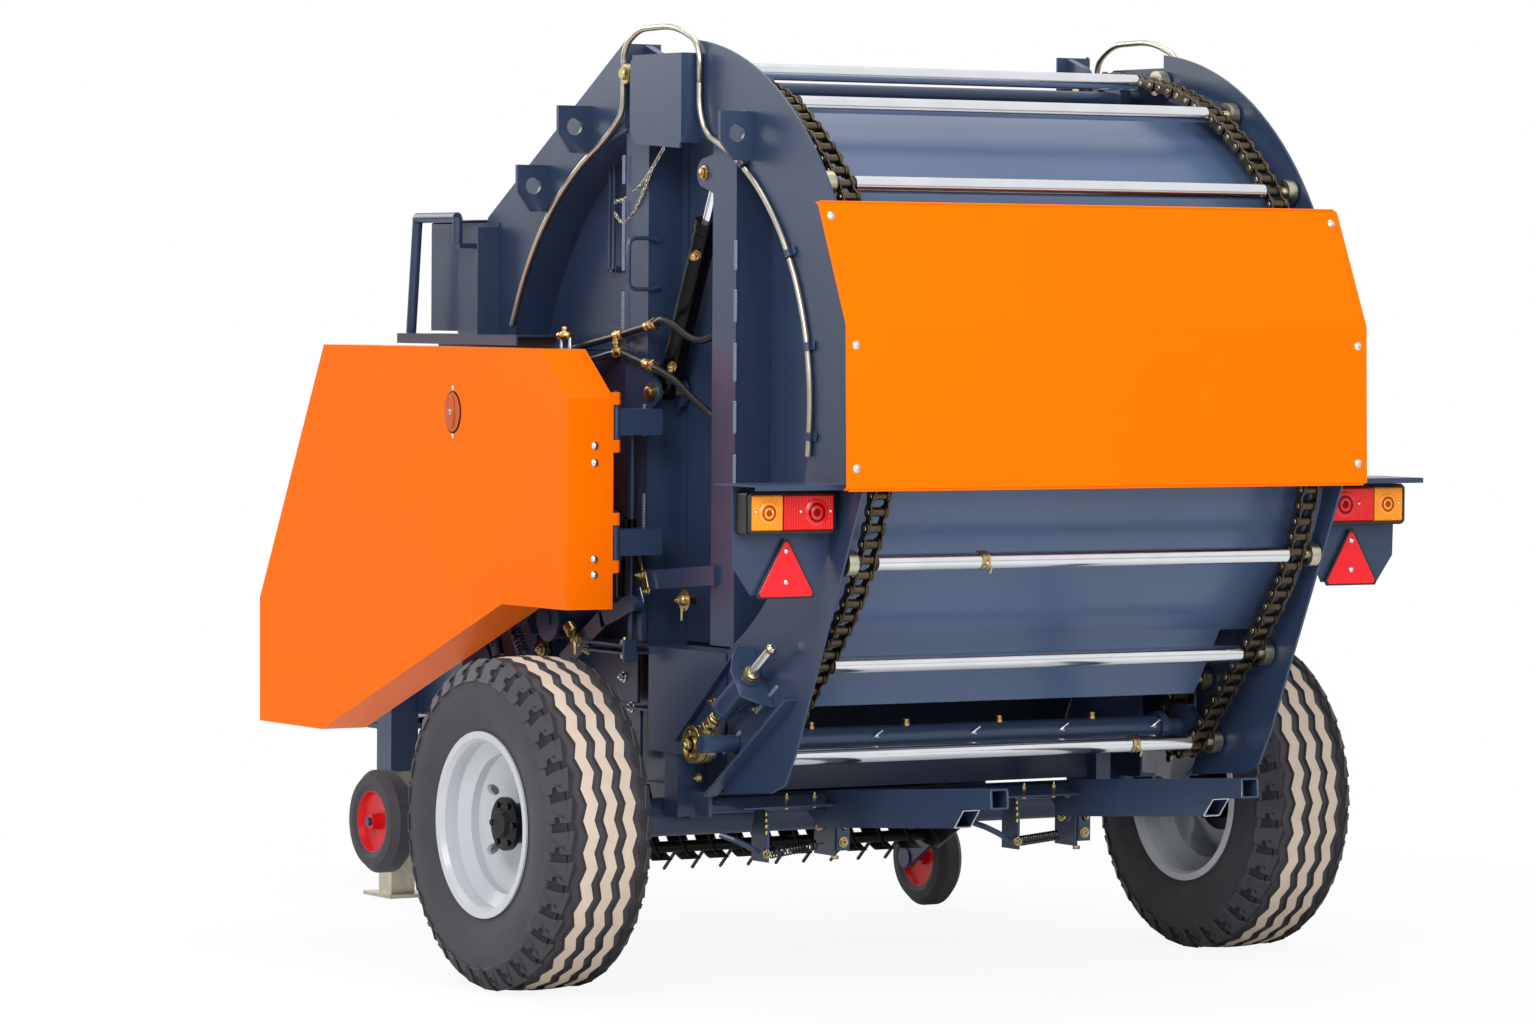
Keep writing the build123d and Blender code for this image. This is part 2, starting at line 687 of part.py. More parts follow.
def make_gate():
    """The tailgate: two sides, the wrap with its roller rails, cross tube, panel."""
    side = gate_side()
    keep("gate_sides", both(side))
    inner = side_out - side_plate
    sheet = slab_xz(sector(wrap_c, wrap_r - wrap_wall, wrap_r, wrap_from_deg, wrap_to_deg), -inner, inner)
    lap_out = polar(wrap_c, wrap_r, wrap_to_deg - 0.3)
    lap_in = polar(wrap_c, wrap_r - wrap_wall, wrap_to_deg - 0.3)
    foot_in = (wrap_foot[0] + wrap_wall, wrap_foot[1])
    foot = slab_xz(face_of(lap_out, wrap_foot, foot_in, lap_in), -wrap_foot_half, wrap_foot_half)
    rail_r = run_r - roller_d / 2 - 0.5
    rail_flat = sector(run_c, rail_r - 6, rail_r, 100, 226)
    rail = slab_xz(rail_flat, roller_in - 4, inner)
    keep("gate_wrap", fused(sheet, foot, both(rail)))
    w = panel_wall
    skin = face_of(
        (panel_top[0] + panel_lip, panel_top[1] + 4), panel_top, panel_fold, panel_foot,
        (panel_foot[0] + panel_lip, panel_foot[1] - 4), (panel_foot[0] + panel_lip, panel_foot[1] - 4 + w),
        (panel_x(panel_foot[1] + w), panel_foot[1] + w), (panel_x(panel_fold[1] - 0.01), panel_fold[1]),
        (panel_x(panel_top[1] - w), panel_top[1] - w), (panel_top[0] + panel_lip, panel_top[1] + 4 - w),
    )
    keep("rear_panel", slab_xz(skin, -panel_half, panel_half))


def make_lamps():
    """Lamp brackets with hoods, lamp housings, lenses and warning triangles."""
    hood = slab_xz(
        face_of((hood_rear_x, hood_z - 12), (hood_rear_x, hood_z), (hood_front_x, hood_z),
                (hood_front_x, hood_z - 4), (hood_rear_x + 4, hood_z - 4), (hood_rear_x + 4, hood_z - 12)),
        side_out, lamp_out + 12,
    )
    plaque = slab_yz(
        face_of((side_out, plaque_z + 90), (side_out, hood_z - 4), (lamp_out + 8, hood_z - 4),
                (lamp_out + 4, plaque_z + 60), (lamp_out - 40, plaque_z), (side_out + 40, plaque_z)),
        lamp_x + lamp_depth, lamp_x + lamp_depth + plaque_wall,
    )
    arm = block(lamp_x + lamp_depth, hood_front_x, side_out, side_out + 4, plaque_z + 110, hood_z - 4)
    keep("lamp_brackets", both(fused(hood, plaque, arm)))
    housing = block(lamp_x + 8, lamp_x + lamp_depth, lamp_in, lamp_out, lamp_z, lamp_z + lamp_h)
    housing = fillet(housing.edges().filter_by(Axis.X), 8)
    keep("lamp_housings", both(housing))
    split = lamp_out - 90
    amber = block(lamp_x, lamp_x + 8, split + 2, lamp_out - 8, lamp_z + 8, lamp_z + lamp_h - 8)
    red = block(lamp_x, lamp_x + 8, lamp_in + 8, split - 2, lamp_z + 8, lamp_z + lamp_h - 8)
    keep("lamp_lenses_amber", both(amber))
    keep("lamp_lenses_red", both(red))
    mid = (lamp_in + lamp_out) / 2 - 10
    high = triangle_side * sqrt(3) / 2
    tri = slab_yz(
        face_of((mid - triangle_side / 2, triangle_z), (mid + triangle_side / 2, triangle_z),
                (mid, triangle_z + high)),
        lamp_x + lamp_depth - 8, lamp_x + lamp_depth,
    )
    keep("warning_triangles", both(tri))


# ---------------------------------------------------------------- slat conveyor
def tangent(c1, r1, s1, c2, r2, s2):
    """Tangent points of a belt leaving circle 1 for circle 2; s is +1 where it turns to its left."""
    dx, dy = c2[0] - c1[0], c2[1] - c1[1]
    d = hypot(dx, dy)
    phi = atan2(dy, dx) - asin((s2 * r2 - s1 * r1) / d)
    nx, ny = -sin(phi), cos(phi)
    return (c1[0] - s1 * r1 * nx, c1[1] - s1 * r1 * ny), (c2[0] - s2 * r2 * nx, c2[1] - s2 * r2 * ny)


def pitch_radius(teeth):
    """Pitch radius of a sprocket for the conveyor chain."""
    return chain_pitch / (2 * sin(pi / teeth))


def conveyor_circles():
    """The circles that the chain follows: centre, radius, way it turns."""
    inner_r = ring_r_rear + roller_d / 2 + 0.5
    return [
        (run_c, run_r, 1),
        (lower_shaft, pitch_radius(lower_teeth), 1),
        (ring_c_rear, inner_r, -1),
        (upper_shaft, pitch_radius(upper_teeth), 1),
    ]


def conveyor_path(offset):
    """The chain's closed path, offset outwards: pieces ('line', p, q) or ('arc', p, mid, q)."""
    circles = [(c, r + s * offset, s) for c, r, s in conveyor_circles()]
    runs = []
    for k, one in enumerate(circles):
        runs.append(tangent(*one, *circles[(k + 1) % len(circles)]))
    pieces = []
    for k, (c, r, s) in enumerate(circles):
        start = runs[k - 1][1]
        end = runs[k][0]
        a0 = atan2(start[1] - c[1], start[0] - c[0])
        a1 = atan2(end[1] - c[1], end[0] - c[0])
        turn = (a1 - a0) * s % (2 * pi)
        pieces.append(("arc", c, r, a0, s * turn))
        pieces.append(("line", end, runs[k][1]))
    return pieces


def path_wire(offset):
    """The closed wire of the chain's path at an offset."""
    edges = []
    for piece in conveyor_path(offset):
        if piece[0] == "line":
            edges.append(Line(piece[1], piece[2]))
        else:
            _, c, r, a0, turn = piece
            pts = [(c[0] + r * cos(a0 + turn * t), c[1] + r * sin(a0 + turn * t)) for t in (0, 0.5, 1)]
            edges.append(ThreePointArc(*pts))
    return Wire(edges)


def path_stations(step_near, first_deg):
    """Points at equal spacing near step_near along the path, counted from first_deg on the outer run."""
    pieces = conveyor_path(0)
    lengths = [abs(p[2] * p[4]) if p[0] == "arc" else hypot(p[2][0] - p[1][0],
        p[2][1] - p[1][1]) for p in pieces]
    total = sum(lengths)
    count = round(total / step_near)
    _, c, r, a0, turn = pieces[0]
    start = ((radians(first_deg) - a0) % (2 * pi)) * r
    points = []
    for k in range(count):
        s = (start + k * total / count) % total
        for piece, length in zip(pieces, lengths):
            if s <= length:
                if piece[0] == "line":
                    t = s / length
                    points.append(tuple(piece[1][i] + t * (piece[2][i] - piece[1][i]) for i in (0, 1)))
                else:
                    _, c, r, a0, turn = piece
                    a = a0 + turn * s / length
                    points.append((c[0] + r * cos(a), c[1] + r * sin(a)))
                break
            s -= length
    return points


def make_conveyor():
    """Chain loops with link plates, slats with end rollers, shafts with sprockets."""
    ring = Face(path_wire(chain_height / 2)) - Face(path_wire(-chain_height / 2))
    core = Face(path_wire(8)) - Face(path_wire(-8))
    outer = slab_xz(ring, chain_out - chain_plate, chain_out)
    inner = slab_xz(ring, chain_in, chain_in + chain_plate)
    rollers = slab_xz(core, chain_in + chain_plate, chain_out - chain_plate)
    stations = path_stations(slat_step, slat_first_deg)
    chain = fused(outer, inner, rollers)
    keep("slat_chains", both(chain))
    slats = []
    ends = []
    for c in stations:
        slats.append(bar_y(c, slat_d / 2, -chain_in, chain_in))
        axle = bar_y(c, 11, chain_out, roller_in)
        ends.extend(both(fused(axle, bar_y(c, roller_d / 2, roller_in, roller_out))))
    keep("slats", slats)
    keep("slat_rollers", ends)
    shafts = []
    inner = side_out - side_plate
    for centre, teeth, end in ((lower_shaft, lower_teeth, lower_shaft_end),
        (upper_shaft, upper_teeth, inner)):
        sprocket = bar_y(centre, pitch_radius(teeth) - 8 - fit_gap, chain_in + 10, chain_out - 10)
        shafts.append(fused(bar_y(centre, shaft_d / 2, -end, end), both(sprocket)))
    tube = bar_y(lower_shaft, lower_tube_d / 2, -lower_tube_half, lower_tube_half)
    collar = bar_y(lower_shaft, lower_tube_d / 2 + 9, lower_tube_half - 20, lower_tube_half)
    shafts[0] = fused(shafts[0], tube, both(collar))
    keep("conveyor_shafts", shafts)


# ---------------------------------------------------------------- cylinders
def make_cylinders():
    """Tailgate cylinders: barrels on the chassis, rods that end in eyes."""
    base = Vector(cyl_base[0], cyl_y, cyl_base[1])
    eye = Vector(cyl_eye[0], cyl_y, cyl_eye[1])
    along = (eye - base).normalized()
    foot = base + along * 30
    top = foot + along * barrel_len
    barrel = fused(
        bar_y(cyl_base, eye_d / 2, cyl_y - eye_thick / 2, cyl_y + eye_thick / 2),
        bar(tuple(base), tuple(foot), 17),
        bar(tuple(foot), tuple(top), barrel_d / 2),
        bar(tuple(top - along * 20), tuple(top), barrel_d / 2 + 3),
    )
    barrel -= bar_y(cyl_base, cyl_pin_d / 2 + 0.05, cyl_y - eye_thick, cyl_y + eye_thick)
    bore_end = top - along * (barrel_len - 20)
    barrel -= bar(tuple(bore_end), tuple(top + along), rod_d / 2 + 0.1)
    rod = fused(
        bar(tuple(bore_end + along * 8), tuple(eye - along * 18), rod_d / 2),
        bar_y(cyl_eye, eye_d / 2, cyl_y - eye_thick / 2, cyl_y + eye_thick / 2),
    )
    keep("cylinder_barrel_left", barrel)
    keep("cylinder_barrel_right", mirrored(barrel))
    keep("cylinder_rod_left", rod)
    keep("cylinder_rod_right", mirrored(rod))


# ---------------------------------------------------------------- covers
def cover_outline(inset):
    """The side cover's outline seen from its side."""
    i = inset
    return face_of(
        (-49 + i, 1345 - 0.4 * i), (82 + 0.4 * i, 1455 - i), (1155 - 0.9 * i, 1455 - i), (1495 - i, 822),
        (1492 - i, 516 + i), (1156 + 0.4 * i, 516 + i), (254 + 0.6 * i, 864 + i), (-49 + i, 864 + i),
    )


def make_covers():
    """Folded side covers that swing open on upright hinges at their rear edges."""
    shell = slab_xz(cover_outline(0), cover_in, cover_out)
    hollow = slab_xz(cover_outline(cover_wall), cover_in - 1, cover_out - cover_wall)
    cover = shell - hollow
    hx, hy = cover_hinge
    brackets = []
    for z in cover_hinge_z:
        arm = block(-40, 110, side_out - side_plate, hy - 8, z - 30, z + 30)
        arm -= block(-30, 110, side_out + 6, hy - 14, z - 24, z + 24)
        arm -= block(40, 110, side_out + 6, hy, z - 40, z + 40)
        barrel = bar((hx, hy, z - 40), (hx, hy, z + 40), hinge_barrel_r)
        pin = bar((hx, hy, z - 72), (hx, hy, z + 72), 6)
        brackets.append(fused(arm, barrel, pin))
        for z0 in (z - 40 - fit_gap - 28, z + 40 + fit_gap):
            knuckle = bar((hx, hy, z0), (hx, hy, z0 + 28), hinge_barrel_r)
            web = block(-49, -40, hy, cover_in + 6, z0, z0 + 28)
            cover = fused(cover, knuckle, web) - bar((hx, hy, z0 - 1), (hx, hy, z0 + 29), 6 + fit_gap)
    keep("cover_left", cover)
    keep("cover_right", mirrored(cover))
    stop = fused(
        block(1080, 1130, side_out - 30, cover_in - 8, 1180, 1240),
        block(860, 1130, side_out - 16, side_out - side_plate, 1180, 1240),
    )
    keep("cover_brackets", both(brackets[0]), both(brackets[1]), both(stop))


# ---------------------------------------------------------------- pickup
def gauge_arm(centre):
    """The arm on the left that carries a gauge wheel at centre (x, z), with its axle."""
    rx, rz = reel_c
    root = (rx + 150, rz + 10)
    inside = gauge_y - gauge_width / 2 - 24
    stub = bar((root[0], pickup_half - 1, root[1]), (root[0], inside + 10, root[1]), 24)
    arm = beam((root[0] - 20, inside, root[1]), (centre[0], inside, centre[1]), 14, 50)
    boss = bar_y(centre, 26, inside - 12, inside + 12)
    axle = bar_y(centre, gauge_axle_d / 2, inside, gauge_y + gauge_width / 2 + 6)
    return fused(stub, arm, boss, axle)


def make_pickup():
    """The pickup: side plates, cross beam, strippers, gauge wheel arms, tined reel, gauge wheels."""
    px, pz = pickup_pivot
    rx, rz = reel_c
    cheek = slab_xz(
        face_of((px, pz + 40), ((px - 40, pz), (px, pz - 40)), (rx - 130, rz - 50), (rx, rz - 125),
                (rx + 175, rz - 40), (rx + 175, rz + 50), (rx, rz + 150), (rx - 150, rz + 230))
        - hole(rx, rz, reel_shaft_d / 2 + fit_gap) - hole(px, pz, pickup_pin_d / 2 + fit_gap),
        pickup_half - pickup_wall, pickup_half,
    )
    beam_c = (rx - 165, rz + 150)
    back = beam((beam_c[0], -pickup_half + 3, beam_c[1]), (beam_c[0], pickup_half - 3, beam_c[1]), 50, 50, 4)
    r1, r0 = stripper_r, stripper_r - stripper_wall
    lap_x, lap_z = beam_c[0] + 37, beam_c[1] + 25
    band = face_of(
        polar(reel_c, r1, -75), (polar(reel_c, r1, 20), polar(reel_c, r1, 116)),
            (lap_x + 1, lap_z + stripper_wall),
        (beam_c[0] - 10, lap_z + stripper_wall), (beam_c[0] - 10, lap_z), (lap_x, lap_z),
        polar(reel_c, r0, 116), (polar(reel_c, r0, 20), polar(reel_c, r0, -75)),
    )
    strip = slab_xz(band, -(tine_pitch / 2 - 12), tine_pitch / 2 - 12)
    count = int(2 * reel_half / tine_pitch)
    strips = [Pos(0, (k - (count - 1) / 2) * tine_pitch, 0) * strip for k in range(count)]
    arms = [gauge_arm(gauge_left), mirrored(gauge_arm(gauge_right))]
    keep("pickup_frame", fused(both(cheek), back, arms))
    keep("pickup_strippers", strips)
    reel_parts = [bar_y(reel_c, reel_shaft_d / 2, -pickup_half - 8, pickup_half + 8)]
    reel_parts += both(bar_y(reel_c, reel_bar_r + 22, reel_half - 6, reel_half))
    for b in range(reel_bars):
        deg = 360 * b / reel_bars + first_bar_deg
        c = polar(reel_c, reel_bar_r, deg)
        reel_parts.append(bar_y(c, reel_bar_d / 2, -reel_half + 3, reel_half - 3))
        tip = polar(reel_c, reel_tip_r, deg + tine_lead_deg)
        for k in range(count - 1):
            y = (k - (count - 2) / 2) * tine_pitch
            reel_parts.append(beam((c[0], y, c[1]), (tip[0], y, tip[1]), tine_d, tine_d))
    keep("pickup_reel", fused(reel_parts))
    half = gauge_width / 2
    r, rr = gauge_od / 2, gauge_rim_d / 2
    tread = Polygon(
        (rr + fit_gap, half * 0.8), (rr + 14, half * 0.96), (r - 16, half * 0.92), (r, half * 0.45),
        (r, -half * 0.45), (r - 16, -half * 0.92), (rr + 14, -half * 0.96), (rr + fit_gap, -half * 0.8),
            align=None,
    )
    rim = Polygon(
        (gauge_axle_d / 2 + fit_gap, 34), (18, 34), (20, 10), (rr - 8, 16), (rr - 2, half * 0.8),
            (rr, half * 0.8),
        (rr, -half * 0.8), (rr - 2, -half * 0.8), (rr - 8, -16), (20, -10), (18, -22),
        (gauge_axle_d / 2 + fit_gap, -22), align=None,
    )
    for name, centre, turn in (("left", gauge_left, as_is), ("right", gauge_right, mirrored)):
        place = Pos(centre[0], gauge_y, centre[1])
        keep(f"gauge_tyre_{name}", turn(place * revolve(tread, Axis.Y)))
        keep(f"gauge_rim_{name}", turn(place * revolve(rim, Axis.Y)))


# ---------------------------------------------------------------- drawbar, jack, gearbox
def make_drawbar():
    """The drawbar of two converging box beams with its hitch eye, and the parking jack."""
    root = (860.0, 330.0, 690.0)
    nose = (hitch_x - 190, 62.0, hitch_z)
    rail = beam(root, nose, bar_width, bar_height, bar_wall) - block(700, cross_x + 50, 200, 500, 500, 900)
    cross = beam((gearbox_x, -285, 650), (gearbox_x, 285, 650), 80, 80, 6)
    plate = block(nose[0] - 130, nose[0] + 60, -100, 100, hitch_z + bar_height / 2 - 6,
        hitch_z + bar_height / 2 + 8)
    plate_low = block(nose[0] - 130, nose[0] + 60, -100, 100, hitch_z - bar_height / 2 - 8,
        hitch_z - bar_height / 2 + 6)
    web = block(nose[0] + 20, nose[0] + 40, -90, 90, hitch_z - bar_height / 2, hitch_z + bar_height / 2)
    eye_x = hitch_x - hitch_eye_od / 2
    eye = bar((eye_x, 0, hitch_z - hitch_eye_thick / 2), (eye_x, 0, hitch_z + hitch_eye_thick / 2),
        hitch_eye_od / 2)
    shank = block(nose[0] + 40, eye_x - 20, -32, 32, hitch_z - 20, hitch_z + 20)
    bore = bar((eye_x, 0, hitch_z - 40), (eye_x, 0, hitch_z + 40), hitch_eye_bore / 2)
    mount = block(jack_x - 60, jack_x + 60, 130, jack_y - jack_tube / 2, 480, 600)
    eye = fused(shank, eye) - bore
    keep("drawbar", fused(both(rail), cross, plate, plate_low, web, mount, eye))
    z0, z1 = 330.0, 760.0
    tube = block(jack_x - jack_tube / 2, jack_x + jack_tube / 2, jack_y - jack_tube / 2,
        jack_y + jack_tube / 2, z0, z1)
    i = jack_tube / 2 - jack_wall
    tube -= block(jack_x - i, jack_x + i, jack_y - i, jack_y + i, z0, z1 - 6)
    keep("jack_tube", tube)
    h = i - fit_gap
    leg = block(jack_x - h, jack_x + h, jack_y - h, jack_y + h, 8, 480)
    foot = block(jack_x - 75, jack_x + 75, jack_y - 60, jack_y + 60, 0, 10)
    keep("jack_leg", fused(leg, foot))


def make_gearbox():
    """Gearbox on the drawbar, its cross shaft tube to the left drive, and the turning input stub."""
    x, z = gearbox_x, gearbox_z
    case = fillet(block(x - 105, x + 95, -100, 100, z - 95, z + 90).edges().filter_by(Axis.X), 30)
    neck = bar((x + 90, 0, z), (x + 130, 0, z), 62)
    side_tube = bar((x, 95, z), (x, drive_y, z), 38)
    keep("gearbox", fused(case, neck, side_tube) - bar((x + 60, 0, z), (x + 140, 0, z),
        input_shaft_d / 2 + fit_gap))
    inside = bar((x + 62, 0, z), (x + 141, 0, z), input_shaft_d / 2 - 2)
    splined = bar((x + 140, 0, z), (x + 140 + input_shaft_len, 0, z), input_shaft_d / 2)
    keep("input_shaft", fused(inside, splined))
    drive = []
    table = ((x, z, 90.0, drive_y), (560.0, 930.0, 150.0, wall_out), (356.0, 820.0, 52.0, wall_out),
             (700.0, 690.0, 70.0, side_out))
    for sx, sz, r, root in table:
        disc = bar((sx, drive_y, sz), (sx, drive_y + 10, sz), r)
        drive.append(fused(disc, bar((sx, root, sz), (sx, drive_y + 16, sz), 18)))
    keep("side_drive", drive)


# ---------------------------------------------------------------- twine box, shelf, handles
def make_twine_box():
    """Twine box across the front with its hinged lid, end plates, handles and shelves."""
    w = box_wall
    box = block(box_x0, box_x1, -box_half, box_half, box_z0, box_z1)
    box -= block(box_x0 + w, box_x1 - w, -box_half + w, box_half - w, box_z0 + w, box_z1 + w)
    for y in (-215.0, 215.0):
        box = fused(box, block(box_x0 + 1, box_x1 - 1, y - 1.5, y + 1.5, box_z0 + 1, box_z1 - 20))
    hinge = (box_x0 + 8, box_z1 + 12)
    ears = [block(box_x0, box_x0 + 16, y - 10, y + 10, box_z1 - 3, box_z1 + 3) for y in (-500, 0, 500)]
    pins = [bar_y(hinge, 5, y - 36, y + 36) for y in (-500, 0, 500)]
    posts = [block(box_x0 + 3, box_x0 + 13, y - 10, y + 10, box_z1 - 2, box_z1 + 12) for y in (-500, 0, 500)]
    keep("twine_box", fused(box, ears, posts, pins))
    half = box_half - 8
    lid = block(box_x0 + 22, box_x1 + 12, -half, half, box_z1 + 6, box_z1 + 9)
    lip = block(box_x1 + 9, box_x1 + 12, -half, half, box_z1 - 24, box_z1 + 9)
    knuckles = []
    for y in (-500, 0, 500):
        for side in (-1, 1):
            y0, y1 = sorted((y + side * 14, y + side * 34))
            k = bar_y(hinge, 9, y0, y1) - bar_y(hinge, 5.3, y0, y1)
            tab = block(hinge[0] + 7, box_x0 + 26, y0, y1, box_z1 + 6, box_z1 + 14)
            knuckles.append(fused(k, tab))
    keep("twine_lid", fused(lid, lip, knuckles))
    shelf = fused(
        block(430, 1024, side_out, 768, 1480, 1484), block(430, 1024, 764, 768, 1460, 1484),
        block(430, 1024, side_out, side_out + 4, 1440, 1484),
    )
    plate = block(725, 925, side_out, side_out + 4, 1484, 1752)
    flange = block(725, 729, side_out, side_out + 60, 1484, 1740)
    y = side_out + 52
    grip = fused(
        bar((1075, y, 1484), (1045, y, 1752), 12.5), bar((1045, y, 1764), (842, y, 1764), 12.5),
        bar((842, y, 1764), (842, y, 1700), 12.5), bar((1045, y, 1752), (1045, y, 1764), 12.5),
        block(830, 854, side_out, y, 1690, 1702),
    )
    keep("twine_shelves", both(fused(shelf, plate, flange, grip)))


# ---------------------------------------------------------------- bale ramp
def make_ramp():
    """The sprung bale ramp: pivot tube, sheet and two square rails."""
    px, pz = ramp_pivot
    tube = bar_y(ramp_pivot, 17, -ramp_half + 12, ramp_half - 12)
    tube -= [bar_y(ramp_pivot, ramp_pin_d / 2 + fit_gap, y, y + 60) for y in (ramp_half - 60, -ramp_half)]
    sheet = slab_xz(face_of((px, pz + 12), (px, pz + 17), (-345, 425), (-345, 421)), -ramp_half + 14,
        ramp_half - 14)
    rise = (rail_end[1] - rail_start[1]) / (rail_end[0] - rail_start[0])
    drop = (rail_size + low_rail_height) / 2 - 0.5
    (fore_x, fore_lean), (aft_x, aft_lean) = low_rail_fore, low_rail_aft
    fore_z = rail_start[1] + rise * (fore_x - rail_start[0]) - drop
    aft_z = rail_start[1] + rise * (aft_x - rail_start[0]) - drop
    reach = 1.5 * low_rail_height / 2
    between = face_of(
        (fore_x + 1.5 * fore_lean, fore_z + reach), (fore_x - 1.5 * fore_lean, fore_z - reach),
        (aft_x + 1.5 * aft_lean, aft_z - reach), (aft_x - 1.5 * aft_lean, aft_z + reach),
    )
    rails = []
    for y in (rail_y, -rail_y):
        top = beam((rail_start[0], y, rail_start[1]), (rail_end[0], y, rail_end[1]), rail_size,
            rail_size, rail_wall)
        rails.append(top)
        low = beam((fore_x + 60, y, fore_z + 60 * rise), (aft_x - 60, y, aft_z - 60 * rise), rail_size,
            low_rail_height, rail_wall)
        rails.append(low & slab_xz(between, y - rail_size, y + rail_size))
    stop = block(stop_x, stop_x + stop_size, stop_y, stop_y + stop_size, pz + 4, stop_top_z)
    keep("bale_ramp", fused(tube, sheet, rails, stop))


# ---------------------------------------------------------------- tensioners, latches
def make_tensioners():
    """Chain tensioners on the tailgate's wings and the latch arms that reach the front posts."""
    y = side_out
    bearing = bar_y(lower_shaft, 46, y, y + 34) - bar_y(lower_shaft, shaft_d / 2 + fit_gap, y - 1, y + 35)
    box = beam((-415, y + 25, 661), (-478, y + 25, 712), 50, 64)
    nut = bar((-478, y + 25, 712), (-490, y + 25, 720), 17)
    rod = bar((-470, y + 25, 706), tensioner_tip, 11)
    keep("chain_tensioners", both(bearing), both(fused(box, nut, rod)))
    shelf = beam((-300, y + 40, 452), (-636, y + 40, 685), 80, 6)
    keep("wing_flanges", both(shelf))
    arm = beam((33, y + 6, 924), (-300, y + 6, 950), 12, 44)
    leg = block(21, 43, y, y + 12, 786, 940)
    keep("gate_latches", both(fused(arm, leg)))


def conduit_run(points, radii):
    """A conduit tube through points (x, y, z) with a bend radius at each corner."""
    path = FilletPolyline(*points, radius=radii)
    section = Plane(origin=path @ 0, z_dir=path % 0) * Circle(conduit_d / 2)
    return sweep(section, path=path)


def spread_radii(points):
    """Bend radii as large as the runs allow."""
    radii = []
    for a, b, c in zip(points, points[1:], points[2:]):
        u, v = Vector(*b) - Vector(*a), Vector(*c) - Vector(*b)
        radii.append(0.45 * min(u.length, v.length) / max(0.05, sin(radians(u.get_angle(v)) / 2)
                     / cos(radians(u.get_angle(v)) / 2)))
    return radii


def make_conduits():
    """The lamp leads in their conduit: on the chassis, the loop over the hinge, on the tailgate."""
    y = side_out + conduit_d / 2 + fit_gap
    fore = [polar(ring_c_front, ring_r_front + 8, deg) for deg in (22, 31, 40, 50, 60, 69)]
    y_clip = y + 5
    front = [(x, y, z) for x, z in fore] + [(clip_x, y_clip, hinge_z - 86), (clip_x, y_clip, hinge_z - 10)]
    keep("conduit_chassis", both(conduit_run(front, spread_radii(front))))
    loop = [
        (clip_x, y_clip, hinge_z - 10 + fit_gap),
        (clip_x, y_clip, loop_top_z - 40),
        (clip_x - 68, y_clip, loop_top_z),
        (loop_rear_x + 112, y_clip, loop_top_z + 3),
        (loop_rear_x, y_clip, loop_top_z - 38),
        (loop_rear_x, y_clip, hinge_z - 28),
    ]
    keep("conduit_loop", both(conduit_run(loop, spread_radii(loop))))
    aft = [polar(ring_c_rear, ring_r_rear + 9, deg) for deg in (106, 118, 130, 142, 154, 166, 178, 190)]
    rear = [(loop_rear_x, y_clip, hinge_z - 28 - fit_gap), (loop_rear_x, y_clip, hinge_z - 88)]
    rear += [(x, y, z) for x, z in aft]
    keep("conduit_gate", both(conduit_run(rear, spread_radii(rear))))


def main():
    """Build every node and write it."""
    os.makedirs("parts", exist_ok=True)
    make_wheels()
    make_chassis()
    make_front()
    make_gate()
    make_lamps()
    make_conveyor()
    make_cylinders()
    make_covers()
    make_pickup()
    make_drawbar()
    make_gearbox()
    make_twine_box()
    make_ramp()
    make_tensioners()
    make_conduits()
    for name, shape in nodes.items():
        export_step(shape, f"parts/{name}.step")
        print(name, len(shape.solids()), round(shape.volume / 1e6, 2))


if __name__ == "__main__":
    main()
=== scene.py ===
"""Round baler: materials, fittings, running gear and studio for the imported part."""

import json
import logging
import math
from dataclasses import dataclass, field
from enum import Enum
from typing import Any, Callable, ClassVar, Iterable, Sequence

import bmesh
import bpy
from mathutils import Matrix, Vector

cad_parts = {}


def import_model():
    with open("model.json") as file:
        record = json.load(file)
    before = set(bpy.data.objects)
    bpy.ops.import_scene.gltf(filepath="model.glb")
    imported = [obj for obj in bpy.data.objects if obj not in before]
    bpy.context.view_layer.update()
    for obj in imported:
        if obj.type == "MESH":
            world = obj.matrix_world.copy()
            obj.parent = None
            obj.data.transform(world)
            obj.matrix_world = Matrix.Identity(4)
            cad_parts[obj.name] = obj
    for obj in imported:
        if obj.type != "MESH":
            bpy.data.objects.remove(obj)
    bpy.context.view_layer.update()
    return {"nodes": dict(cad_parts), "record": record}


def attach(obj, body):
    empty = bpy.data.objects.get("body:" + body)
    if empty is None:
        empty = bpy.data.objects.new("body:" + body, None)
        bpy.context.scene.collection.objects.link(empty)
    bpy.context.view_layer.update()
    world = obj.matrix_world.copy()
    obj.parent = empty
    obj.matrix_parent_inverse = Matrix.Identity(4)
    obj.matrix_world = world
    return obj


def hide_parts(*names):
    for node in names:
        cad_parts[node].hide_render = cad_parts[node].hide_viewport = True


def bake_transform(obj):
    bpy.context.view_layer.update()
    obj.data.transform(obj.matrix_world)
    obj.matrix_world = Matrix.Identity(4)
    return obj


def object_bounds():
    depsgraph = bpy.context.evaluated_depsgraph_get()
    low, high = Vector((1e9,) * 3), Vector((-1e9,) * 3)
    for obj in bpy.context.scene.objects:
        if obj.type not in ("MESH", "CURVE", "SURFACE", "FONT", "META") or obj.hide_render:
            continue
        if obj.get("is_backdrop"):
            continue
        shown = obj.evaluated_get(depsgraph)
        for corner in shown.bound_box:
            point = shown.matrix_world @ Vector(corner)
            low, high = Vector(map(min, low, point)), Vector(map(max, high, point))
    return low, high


LOG = logging.getLogger("baler")
MM = 0.001
AXLE_X = -0.835
SIDES = (1, -1)
SIDE_NAME = {1: "left", -1: "right"}
FORE, BACK = Vector((1, 0, 0)), Vector((-1, 0, 0))
